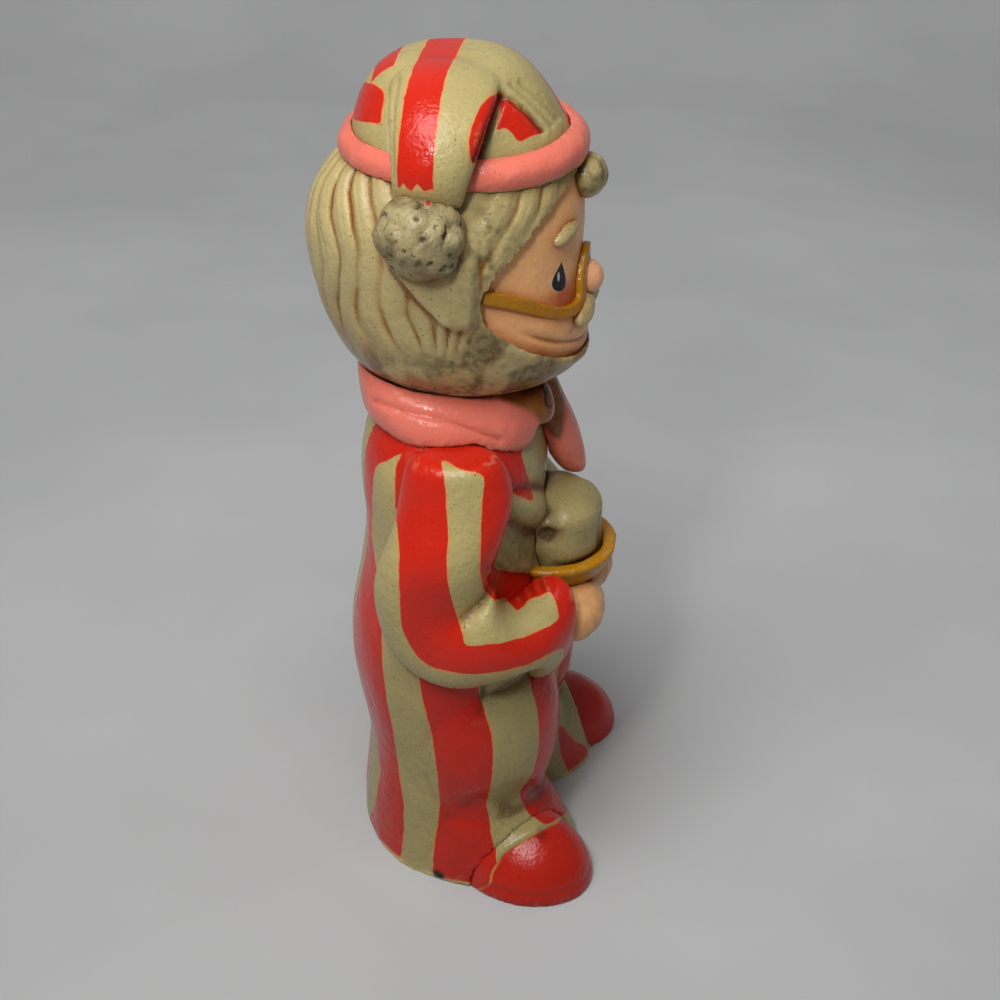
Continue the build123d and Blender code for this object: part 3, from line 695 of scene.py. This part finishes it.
# %% Cast the cap and press its folds
cap = cast("nightcap_cast", ["nightcap", "cap_tail"], "striped_red_cream", 0.5, 9)
LEAF_EDGE = [(503, 97), (497, 112), (491, 126), (484, 143), (477, 161)]
POCKET_EDGE = [(503, 95), (517, 104), (530, 116), (542, 131)]
UPPER_PLEATS = ([(512, 84), (530, 99), (552, 124)], [(522, 82), (540, 98), (558, 118)])
TAIL_ROLL = [(398, 78), (393, 105), (391, 140), (391, 178)]
place = points(cap)
spots, facing = seen(cap, folded=False)
near = ramp(facing, 0, 0.25)
folds = 1.2 * bump(stroke(spots, LEAF_EDGE), 0, 0.9) + 0.9 * bump(stroke(spots, POCKET_EDGE), 0, 0.8)
for pleat in UPPER_PLEATS:
    folds += 0.55 * bump(stroke(spots, pleat), 0, 0.8)
folds += 0.55 * bump(stroke(spots, TAIL_ROLL), 0, 0.7)
press(cap, 0.3 * mottle(place, 12, 20) - folds * near)

# %% Paint the stripes of the cap, and painted shade along its folds
LEAF = [
    (501, 94), (491, 96), (480, 107), (473, 124), (469, 140), (470, 157), (474, 164), (479, 156), (484, 142),
    (491, 125), (497, 111), (502, 100),
]
POCKET_RED = [
    (504, 99), (517, 107), (528, 116), (536, 125), (542, 132), (530, 137), (519, 141), (512, 133), (505, 128),
    (497, 129), (500, 116),
]
REAR_PATCH = [
    (362, 82), (377, 86), (383, 92), (384, 101), (382, 112), (380, 123), (370, 122), (358, 121), (346, 112),
    (350, 92),
]
TOP_STRIPE_Y, TOP_STRIPE_HALF, TOP_STRIPE_END_Z = 4.6, 3.8, 179.2
REAR_STRIPE_Y, REAR_STRIPE_HALF, BACK_RED_Y = 15.8, 2.6, 22.5
FAR_STRIPE_WIDTH = 9
place = points(cap)
x, y, z = place.T
spots, facing = seen(cap, folded=False)
brush_end = z - TOP_STRIPE_END_Z - 1.4 * mottle(place * np.array([0.1, 3.0, 0.3]), 3, 24)
over_top = np.minimum.reduce([TOP_STRIPE_HALF - np.abs(y - TOP_STRIPE_Y), 12 - x, brush_end])
far_edge = 2 + 0.45 * (y + 21.4)
before_top = TOP_STRIPE_Y + TOP_STRIPE_HALF - y
down_far = np.minimum.reduce([x - far_edge, far_edge + FAR_STRIPE_WIDTH - x, before_top])
rear_band = REAR_STRIPE_HALF - np.abs(y - REAR_STRIPE_Y)
rear = np.minimum(rear_band, x + 7)
unseen = np.maximum(rear_band, y - BACK_RED_Y)
near_paint = np.maximum.reduce([drawn(spots, shape) for shape in (LEAF, POCKET_RED, REAR_PATCH)])
near_paint = np.where(facing > -0.02, np.maximum(rear, near_paint), unseen)
mark(cap, "stripe", np.maximum.reduce([over_top, down_far, near_paint]))
# Painted shade: dark lines along the edges of the leaf and the pocket, where the cloth folds under.
pocket_shade = np.maximum(bump(stroke(spots, LEAF_EDGE), 0, 0.9), bump(stroke(spots, POCKET_EDGE), 0, 0.6))
mark(cap, "stain_and_shade", 0.9 * pocket_shade * (facing > 0))
print("cap painted:", len(place), "points")

# %% Cast the cuff and the pompom
cuff = cast("cap_cuff_cast", ["cap_cuff"], "pink_trim", 0.45, 6)
place = points(cuff)
press(cuff, 0.4 * mottle(place, 8, 21) + 0.12 * mottle(place, 3, 22))
mark(cuff, "rim", 175.8 + 0.7 * mottle(place, 6, 39) - place[:, 2])

pompom = cast("pompom_cast", ["pompom"], "pompom_cream", 0.4, 5)
place = points(pompom)
knobs = np.abs(mottle(place, 6.5, 25))
pits = ramp(mottle(place, 1.9, 26), 0.25, 0.5)
press(pompom, 1.7 * (knobs - 0.28) - 0.45 * pits)
mark(pompom, "stain_and_shade", np.maximum(0.8 * ramp(mottle(place, 4, 40), -0.3, 0.4), pits))
DROP = (428, 203)
spots, facing = seen(pompom, folded=False)
mark(pompom, "drop", 0.75 - away_from(spots, DROP))

# %% [markdown]
# ## Where varnish and dirt gather
# Two masks drive the ageing on every piece. The groove mask compares each point with the average of the points
# round it: below the average is a hollow, above it is a ridge. The seam mask is the distance to the nearest
# other piece, because varnish pooled and yellowed wherever two forms meet.

# %% Measure grooves, ridges and seams
trees = {}
for name, piece in pieces.items():
    place = points(piece)
    faces = [tuple(f.vertices) for f in piece.data.polygons]
    trees[name] = (BVHTree.FromPolygons(place.tolist(), faces), place.min(0) - 5, place.max(0) + 5)
for name, piece in pieces.items():
    place = points(piece)
    level = averaged(piece, place, 20)
    dip = ((level - place) * normals(piece)).sum(1) * (1 - quiet.get(name, 0))
    mark(piece, "groove", np.clip(dip / 0.28, 0, 1))
    mark(piece, "ridge", np.clip(-dip / 0.35, 0, 1))
    gap = np.full(len(place), 6.0)
    low, high = place.min(0), place.max(0)
    for other, (tree, other_low, other_high) in trees.items():
        if other == name or (other_low > high).any() or (other_high < low).any():
            continue
        near = np.flatnonzero(((place > other_low) & (place < other_high)).all(1))
        for i in near:
            found = tree.find_nearest(place[i], 5.0)
            if found[0] is not None and found[3] < gap[i]:
                gap[i] = found[3]
    mark(piece, "seam", np.exp(-gap / 1.1) * (1 - quiet.get(name, 0)))
print("aged pieces:", len(pieces))

# %% [markdown]
# ## Paint and varnish
# All colours lie under the same old varnish, so one node group adds what time did to each of them: broad and
# fine mottling, amber in the seams, dirt at the bottom of grooves, brown washes, grey stains, chips, bare
# plaster, tiny dark specks, rubbed ridges, and the matching roughness and relief. The same group also paints
# shade: the paint darkens towards the floor, and the grey stains carry painted shade in a few creases and
# under overhangs. A second group turns a distance mask into a hand-painted edge.

# %% Node tools
def srgb(r, g, b):
    return tuple(((c / 255 + 0.055) / 1.055) ** 2.4 if c > 10 else c / 255 / 12.92 for c in (r, g, b)) + (1,)


def link(tree, source, target):
    tree.links.new(source, target)


def node(tree, kind, inputs=None, **settings):
    made = tree.nodes.new(kind)
    for key, value in settings.items():
        setattr(made, key, value)
    for key, value in (inputs or {}).items():
        if isinstance(value, bpy.types.NodeSocket):
            link(tree, value, made.inputs[key])
        else:
            made.inputs[key].default_value = value
    return made


def math_node(tree, operation, a, b=0.0, c=0.0, clamp=False):
    return node(tree, "ShaderNodeMath", {0: a, 1: b, 2: c}, operation=operation, use_clamp=clamp).outputs[0]


def times(tree, a, b):
    return math_node(tree, "MULTIPLY", a, b, clamp=True)


def blend(tree, share, below, above, how="MIX"):
    made = node(tree, "ShaderNodeMix", {0: share, 6: below, 7: above}, data_type="RGBA", blend_type=how)
    return made.outputs[2]


def spread(tree, value, low, high, to_low=0.0, to_high=1.0):
    made = node(
        tree,
        "ShaderNodeMapRange",
        {0: value, 1: low, 2: high, 3: to_low, 4: to_high},
        interpolation_type="SMOOTHSTEP",
    )
    return made.outputs[0]


def spread_linear(tree, value, low, high):
    return node(tree, "ShaderNodeMapRange", {0: value, 1: low, 2: high}).outputs[0]


def mask(tree, name):
    return node(tree, "ShaderNodeAttribute", attribute_name=name).outputs["Fac"]


def cloud(tree, where, scale, detail):
    return node(tree, "ShaderNodeTexNoise", {"Vector": where, "Scale": scale, "Detail": detail}).outputs[0]


def new_group(name, ins, outs):
    group = bpy.data.node_groups.new(name, "ShaderNodeTree")
    for kind, label, default in ins:
        socket = group.interface.new_socket(label, in_out="INPUT", socket_type=kind)
        socket.default_value = default
    for kind, label in outs:
        group.interface.new_socket(label, in_out="OUTPUT", socket_type=kind)
    return group, group.nodes.new("NodeGroupInput"), group.nodes.new("NodeGroupOutput")


FLOAT, COLOUR = "NodeSocketFloat", "NodeSocketColor"
print("node tools ready")

# %% Colours of the paint, and of what time did to it
RED, CREAM, PEACH = srgb(194, 33, 14), srgb(172, 156, 103), srgb(206, 140, 70)
PINK, FLESH, NOSE_PINK = srgb(222, 116, 98), srgb(236, 174, 116), srgb(232, 170, 126)
SLIPPER_RED, GILT, WAX = srgb(190, 32, 12), srgb(176, 120, 2), srgb(158, 143, 94)
HAIR_CREAM, POMPOM_CREAM = srgb(180, 163, 112), srgb(160, 145, 104)
AMBER, BROWN_WASH, GREY_STAIN_AND_SHADE = srgb(206, 140, 48), srgb(188, 104, 30), srgb(120, 122, 112)
DIRT, CHIPPED, SPECK = srgb(62, 42, 22), srgb(28, 20, 16), srgb(62, 54, 38)
RUBBED_PAINT, BARE_PLASTER = srgb(198, 182, 142), srgb(206, 182, 112)
EYE_RIM, EYE_BLACK, EYE_GLEAM = srgb(206, 196, 186), srgb(16, 12, 12), srgb(190, 190, 194)
CLOTH_SHADE, CLOTH_TINT = srgb(168, 168, 168), srgb(175, 175, 175)
print("red under the varnish:", tuple(round(c, 3) for c in RED))

# %% The group for old varnish
BROAD_SCALE, BRUSH_SCALE, FINE_SCALE, PEPPER_SCALE, SPECK_SCALE = 110.0, 420.0, 1150.0, 2300.0, 620.0
SHADED_Z, LIT_Z, SHADED_TONE = 0.015, 0.1, 0.76
varnish, given, result = new_group(
    "old_varnish",
    [
        (COLOUR, "Paint", (0.5, 0.5, 0.5, 1)),
        (FLOAT, "Amber", 1.0),
        (FLOAT, "Dirt", 1.0),
        (FLOAT, "Specks", 1.0),
        (FLOAT, "Rubbing", 0.3),
        (FLOAT, "Gloss", 0.3),
    ],
    [(COLOUR, "Colour"), (FLOAT, "Roughness"), (FLOAT, "Height")],
)
where = node(varnish, "ShaderNodeTexCoord").outputs["Object"]
broad = cloud(varnish, where, BROAD_SCALE, 4.0)
brushed = cloud(varnish, where, BRUSH_SCALE, 3.0)
fine = cloud(varnish, where, FINE_SCALE, 3.0)
cells = node(varnish, "ShaderNodeTexVoronoi", {"Vector": where, "Scale": SPECK_SCALE})
picked = node(varnish, "ShaderNodeSeparateColor", {0: cells.outputs["Color"]})
seam, groove, ridge = (mask(varnish, label) for label in ("seam", "groove", "ridge"))

tone = math_node(varnish, "MULTIPLY_ADD", broad, 0.30, 0.85)
tone = math_node(varnish, "ADD", tone, math_node(varnish, "MULTIPLY_ADD", fine, 0.18, -0.09))
# Painted shade: the tone darkens towards the floor, as if the lower body lay in shadow.
height_up = node(varnish, "ShaderNodeSeparateXYZ", {0: where}).outputs[2]
tone = math_node(varnish, "MULTIPLY", tone, spread(varnish, height_up, SHADED_Z, LIT_Z, SHADED_TONE, 1.0))
shade = node(varnish, "ShaderNodeCombineColor", {0: tone, 1: tone, 2: tone}).outputs[0]
colour = blend(varnish, 1.0, given.outputs["Paint"], shade, "MULTIPLY")

pooled = math_node(varnish, "MAXIMUM", times(varnish, seam, 0.8), times(varnish, groove, 0.75))
pooled = times(varnish, pooled, spread(varnish, broad, 0.3, 0.62, 0.25, 1.0))
pooled = times(varnish, pooled, given.outputs["Amber"])
colour = blend(varnish, pooled, colour, AMBER, "MULTIPLY")
washed = times(varnish, mask(varnish, "wash"), spread(varnish, broad, 0.25, 0.6, 0.55, 1.0))
colour = blend(varnish, washed, colour, BROWN_WASH, "MULTIPLY")
# The mask of grey stains holds real stains, and painted shade in a few creases and under overhangs.
stained_and_shaded = times(varnish, mask(varnish, "stain_and_shade"), spread(varnish, brushed, 0.35, 0.6, 0.45, 1.0))
colour = blend(varnish, times(varnish, stained_and_shaded, 0.85), colour, GREY_STAIN_AND_SHADE, "MULTIPLY")

filth = times(varnish, spread(varnish, groove, 0.45, 1.0), spread(varnish, fine, 0.35, 0.6, 0.3, 1.0))
filth = math_node(varnish, "MAXIMUM", filth, spread(varnish, seam, 0.72, 1.0, 0.0, 0.35))
filth = times(varnish, filth, given.outputs["Dirt"])
colour = blend(varnish, filth, colour, DIRT)

rubbing_and_shade = times(varnish, spread(varnish, ridge, 0.5, 1.0), spread(varnish, brushed, 0.5, 0.64))
colour = blend(varnish, times(varnish, rubbing_and_shade, given.outputs["Rubbing"]), colour, RUBBED_PAINT)
colour = blend(varnish, mask(varnish, "plaster"), colour, BARE_PLASTER)
colour = blend(varnish, mask(varnish, "chip"), colour, CHIPPED)

dot = math_node(varnish, "SUBTRACT", 1.0, spread(varnish, cells.outputs["Distance"], 0.09, 0.17))
dot = times(varnish, dot, math_node(varnish, "GREATER_THAN", picked.outputs[0], 0.80))
pepper = spread(varnish, cloud(varnish, where, PEPPER_SCALE, 1.0), 0.6, 0.74)
dot = math_node(varnish, "MAXIMUM", dot, times(varnish, pepper, 0.5))
dot = times(varnish, dot, given.outputs["Specks"])
colour = blend(varnish, times(varnish, dot, 0.75), colour, SPECK)

smoothest = math_node(varnish, "SUBTRACT", given.outputs["Gloss"], 0.12)
rough = math_node(varnish, "MULTIPLY_ADD", broad, 0.24, smoothest)
rough = math_node(varnish, "ADD", rough, times(varnish, filth, 0.25))
rough = math_node(varnish, "ADD", rough, math_node(varnish, "MULTIPLY_ADD", fine, 0.12, -0.06), clamp=True)
height = math_node(varnish, "MULTIPLY_ADD", brushed, 0.6, math_node(varnish, "MULTIPLY", fine, 0.35))
height = math_node(varnish, "SUBTRACT", height, math_node(varnish, "MULTIPLY", dot, 0.3))
link(varnish, colour, result.inputs["Colour"])
link(varnish, rough, result.inputs["Roughness"])
link(varnish, height, result.inputs["Height"])
print("nodes in the varnish:", len(varnish.nodes))

# %% The group for a hand-painted edge
edge, given, result = new_group(
    "brushed_edge",
    [(FLOAT, "Distance", 0.0), (FLOAT, "Wander", 0.5)],
    [(FLOAT, "Inside"), (FLOAT, "Line")],
)
where = node(edge, "ShaderNodeTexCoord").outputs["Object"]
wander = cloud(edge, where, 260.0, 3.0)
wander = math_node(edge, "MULTIPLY", math_node(edge, "SUBTRACT", wander, 0.5), given.outputs["Wander"])
shifted = math_node(edge, "ADD", given.outputs["Distance"], wander)
near_edge = math_node(edge, "ABSOLUTE", math_node(edge, "ADD", shifted, 0.22))
line = math_node(edge, "SUBTRACT", 1.0, spread(edge, near_edge, 0.1, 0.4))
line = times(edge, line, spread(edge, cloud(edge, where, 150.0, 2.0), 0.4, 0.6, 0.15, 0.85))
link(edge, spread(edge, shifted, -0.12, 0.12), result.inputs["Inside"])
link(edge, line, result.inputs["Line"])
print("groups:", [g.name for g in bpy.data.node_groups])


# %% Building a lacquered finish
VARNISH_IOR, RELIEF_DEPTH = 1.38, 0.0008


def lacquer(name, paint, amber, dirt, specks, rubbing, gloss, relief, repaint=None):
    """A finish: the shares of each kind of ageing, and a function that repaints it by its masks."""
    material = bpy.data.materials.new(name)
    material.use_nodes = True
    tree = material.node_tree
    shader = tree.nodes["Principled BSDF"]
    aged = node(tree, "ShaderNodeGroup", node_tree=varnish)
    ageing = {"Amber": amber, "Dirt": dirt, "Specks": specks, "Rubbing": rubbing, "Gloss": gloss}
    for key, value in ageing.items():
        aged.inputs[key].default_value = value
    aged.inputs["Paint"].default_value = paint
    if repaint:
        repaint(tree, aged, paint)
    link(tree, aged.outputs["Colour"], shader.inputs["Base Color"])
    link(tree, aged.outputs["Roughness"], shader.inputs["Roughness"])
    relief_node = node(tree, "ShaderNodeBump", {"Height": aged.outputs["Height"]})
    relief_node.inputs["Strength"].default_value = relief
    relief_node.inputs["Distance"].default_value = RELIEF_DEPTH
    link(tree, relief_node.outputs[0], shader.inputs["Normal"])
    shader.inputs["IOR"].default_value = VARNISH_IOR
    return material


print("lacquer ready, IOR", VARNISH_IOR)


# %% Repainting a finish by its masks
NO_MASK = 0.001


def brushed_by(tree, distance, wander):
    made = node(tree, "ShaderNodeGroup", node_tree=edge)
    made.inputs["Wander"].default_value = wander
    link(tree, distance, made.inputs["Distance"])
    return made.outputs["Inside"], made.outputs["Line"]


def striped(tree, aged, paint):
    inside, line = brushed_by(tree, mask(tree, "stripe"), 0.8)
    colour = blend(tree, inside, CREAM, RED)
    colour = blend(tree, line, colour, PEACH)
    specks = math_node(tree, "MULTIPLY_ADD", inside, -0.85, 1.0)
    gloss = math_node(tree, "MULTIPLY_ADD", inside, -0.12, 0.30)
    for socket, key in ((colour, "Paint"), (specks, "Specks"), (gloss, "Gloss")):
        link(tree, socket, aged.inputs[key])


def cream_rimmed(tree, aged, paint):
    inside, _ = brushed_by(tree, math_node(tree, "SUBTRACT", mask(tree, "rim"), NO_MASK), 0.5)
    has_rim = math_node(tree, "GREATER_THAN", math_node(tree, "ABSOLUTE", mask(tree, "rim")), NO_MASK / 10)
    link(tree, blend(tree, times(tree, inside, has_rim), paint, CREAM), aged.inputs["Paint"])


def hem_edged(tree, aged, paint):
    inside, line = brushed_by(tree, math_node(tree, "SUBTRACT", mask(tree, "hem"), NO_MASK), 0.3)
    pattern = blend(tree, spread(tree, mask(tree, "stripe"), -0.12, 0.12), CREAM, RED)
    colour = blend(tree, inside, paint, pattern)
    link(tree, blend(tree, line, colour, PEACH), aged.inputs["Paint"])


def red_drop(tree, aged, paint):
    inside = spread(tree, mask(tree, "drop"), 0.05, 0.2)
    link(tree, blend(tree, inside, paint, RED), aged.inputs["Paint"])


print("masks painted:", ["stripe", "rim", "hem", "drop"])

# %% [markdown]
# ## Eyes
# Each eye is a black drop of paint, pointed at the top, with a white streak for the gleam and a thin pale line
# round its lower half. It could be a small raised piece, but the brush left it flat, so the flesh finish draws
# it from the point's own place on the head: the drop's half width is a curve of the height above its foot.

# %% The painted eyes
EYE_FOOT, EYE_TIP, EYE_MIDDLE, EYE_LEAN, EYE_SLANT, EYE_FULLNESS = 149.7, 156.7, 13.75, 0.95, 0.35, 6.0
GLEAM_Z, GLEAM_HALF_WIDTH, GLEAM_HALF_HEIGHT = 153.1, 0.36, 1.15
FACE_FRONT = -0.010


def eyed(tree, aged, paint):
    where = node(tree, "ShaderNodeTexCoord").outputs["Object"]
    axes = node(tree, "ShaderNodeSeparateXYZ", {0: where}).outputs
    side = math_node(tree, "MULTIPLY", math_node(tree, "ABSOLUTE", axes[0]), 1 / MM)
    level = math_node(tree, "MULTIPLY", axes[2], 1 / MM)
    slanted = math_node(tree, "MULTIPLY_ADD", math_node(tree, "SUBTRACT", side, EYE_MIDDLE), -EYE_SLANT, level)
    share = spread_linear(tree, slanted, EYE_FOOT, EYE_TIP)
    middle = math_node(tree, "MULTIPLY_ADD", share, -EYE_LEAN, EYE_MIDDLE)
    off = math_node(tree, "ABSOLUTE", math_node(tree, "SUBTRACT", side, middle))
    taper = math_node(tree, "POWER", math_node(tree, "SUBTRACT", 1.0, share), 1.25)
    drop = math_node(tree, "MULTIPLY", math_node(tree, "SQRT", share), taper)
    half_width = math_node(tree, "MULTIPLY", drop, EYE_FULLNESS)
    inside = math_node(tree, "SUBTRACT", half_width, off)
    in_front = math_node(tree, "LESS_THAN", axes[1], FACE_FRONT)
    outline = times(tree, spread(tree, inside, -0.5, -0.3), math_node(tree, "LESS_THAN", share, 0.42))
    outline = times(tree, outline, math_node(tree, "GREATER_THAN", slanted, EYE_FOOT - 0.35))
    colour = blend(tree, times(tree, times(tree, outline, in_front), 0.7), paint, EYE_RIM)
    colour = blend(tree, times(tree, spread(tree, inside, -0.05, 0.08), in_front), colour, EYE_BLACK)
    across = math_node(tree, "DIVIDE", math_node(tree, "SUBTRACT", side, EYE_MIDDLE), GLEAM_HALF_WIDTH)
    upward = math_node(tree, "DIVIDE", math_node(tree, "SUBTRACT", level, GLEAM_Z), GLEAM_HALF_HEIGHT)
    oval = math_node(tree, "MULTIPLY_ADD", across, across, math_node(tree, "MULTIPLY", upward, upward))
    gleam = times(tree, math_node(tree, "SUBTRACT", 1.0, spread(tree, oval, 0.7, 1.1)), in_front)
    link(tree, blend(tree, gleam, colour, EYE_GLEAM), aged.inputs["Paint"])


print("repaints ready")

# %% Mix every finish and lay it on
# Name, colour, the shares of amber, dirt, specks and rubbing, the roughness, the relief and the repainting.
finishes = {
    "striped_red_cream": lacquer("striped_lacquer", CREAM, 0.8, 0.5, 1.0, 0.2, 0.3, 0.5, striped),
    "red_slipper": lacquer("slipper_enamel", SLIPPER_RED, 0.6, 0.8, 0.3, 0.12, 0.22, 0.4, hem_edged),
    "gilt": lacquer("worn_gilt", GILT, 1.0, 0.9, 0.5, 0.1, 0.24, 0.5),
    "wax_cream": lacquer("wax_paint", WAX, 1.0, 0.8, 1.0, 0.2, 0.32, 0.5),
    "flesh": lacquer("flesh_paint", FLESH, 0.9, 0.5, 0.3, 0.1, 0.3, 0.35, eyed),
    "pink_trim": lacquer("pink_enamel", PINK, 0.7, 0.4, 0.3, 0.15, 0.18, 0.5, cream_rimmed),
    "hair_cream": lacquer("hair_paint", HAIR_CREAM, 1.3, 0.4, 0.8, 0.25, 0.24, 0.5),
    "nose_pink": lacquer("nose_paint", NOSE_PINK, 0.8, 0.5, 0.3, 0.1, 0.28, 0.3),
    "pompom_cream": lacquer("pompom_paint", POMPOM_CREAM, 0.9, 1.0, 1.3, 0.2, 0.34, 0.8, red_drop),
}
for piece in pieces.values():
    piece.data.materials.clear()
    piece.data.materials.append(finishes[piece["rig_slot"]])
print("finishes:", len(finishes))

# %% [markdown]
# ## Floor and light
# The figure stands on a pale cloth that sweeps up behind it. One large soft lamp overhead, on the camera's side
# and a little behind the figure, gives the modelling. A small one near the camera gives the window-like
# highlights, and the world adds even light.

# %% Stage
VIEW_AZIMUTH = -82
CLOTH_STEPS = 40
CLOTH_NEAR, CLOTH_RUN, CLOTH_HALF_WIDTH, WALL_RISE = -1.2, 1.75, 1.4, 1.4
FLOOR_SHARE, SWEEP_SHARE, SWEEP_RADIUS = 0.55, 0.25, 0.14
bpy.ops.object.select_all(action="DESELECT")
bpy.ops.mesh.primitive_grid_add(x_subdivisions=CLOTH_STEPS, y_subdivisions=CLOTH_STEPS, size=2)
cloth = bpy.context.object
cloth.name = cloth.data.name = "pale_cloth"
view_turn = math.radians(VIEW_AZIMUTH)
away = Vector((-math.sin(view_turn), math.cos(view_turn), 0))
across = Vector((away.y, -away.x, 0))
for corner in cloth.data.vertices:
    t = (corner.co.y + 1) / 2
    climb = max(0, (t - FLOOR_SHARE) / (1 - FLOOR_SHARE))
    turn = min(climb / SWEEP_SHARE, 1) * math.pi / 2
    forward = CLOTH_NEAR + CLOTH_RUN * min(t / FLOOR_SHARE, 1) + SWEEP_RADIUS * math.sin(turn)
    rise = SWEEP_RADIUS * (1 - math.cos(turn)) + max(0, climb - SWEEP_SHARE) * WALL_RISE
    corner.co = away * forward + across * CLOTH_HALF_WIDTH * corner.co.x + Vector((0, 0, rise))
cloth.data.update()
bpy.ops.object.shade_smooth()
print("cloth faces:", len(cloth.data.polygons))

# %% Linen for the cloth
linen = bpy.data.materials.new("pale_linen")
linen.use_nodes = True
tree = linen.node_tree
where = node(tree, "ShaderNodeTexCoord").outputs["Object"]
folds = cloud(tree, where, 7.0, 3.0)
shader = tree.nodes["Principled BSDF"]
tint = spread(tree, folds, 0.3, 0.7)
link(tree, blend(tree, tint, CLOTH_SHADE, CLOTH_TINT), shader.inputs["Base Color"])
shader.inputs["Roughness"].default_value = 0.9
cloth_relief = node(tree, "ShaderNodeBump", {"Height": folds})
cloth_relief.inputs["Strength"].default_value = 0.25
cloth_relief.inputs["Distance"].default_value = 0.03
link(tree, cloth_relief.outputs[0], shader.inputs["Normal"])
cloth.data.materials.append(linen)
print("cloth wears", linen.name)


# %% Lamps and world
def lamp(name, place, aim, size, power):
    data = bpy.data.lights.new(name, "AREA")
    data.shape = "RECTANGLE"
    data.size, data.size_y = size
    data.energy = power
    obj = bpy.data.objects.new(name, data)
    scene.collection.objects.link(obj)
    obj.location = place
    obj.rotation_euler = (Vector(aim) - Vector(place)).to_track_quat("-Z", "Y").to_euler()
    return obj


WINDOW_SPREAD, WORLD_TINT, WORLD_STRENGTH = math.radians(50), (0.96, 0.98, 1.0, 1), 0.2
lamp("ceiling", place=(-0.4, 0.18, 1.25), aim=(0, 0, 0.1), size=(0.8, 0.8), power=14.5)
window = lamp("window", place=(-0.4, 0.06, 0.5), aim=(0, 0, 0.16), size=(0.06, 0.09), power=0.085)
window.data.spread = WINDOW_SPREAD
world = bpy.data.worlds.new("room")
scene.world = world
world.use_nodes = True
world.node_tree.nodes["Background"].inputs["Color"].default_value = WORLD_TINT
world.node_tree.nodes["Background"].inputs["Strength"].default_value = WORLD_STRENGTH
scene.view_settings.view_transform = "Standard"
print("lamps:", len(bpy.data.lights))

# %% Update the view layer
bpy.context.view_layer.update()
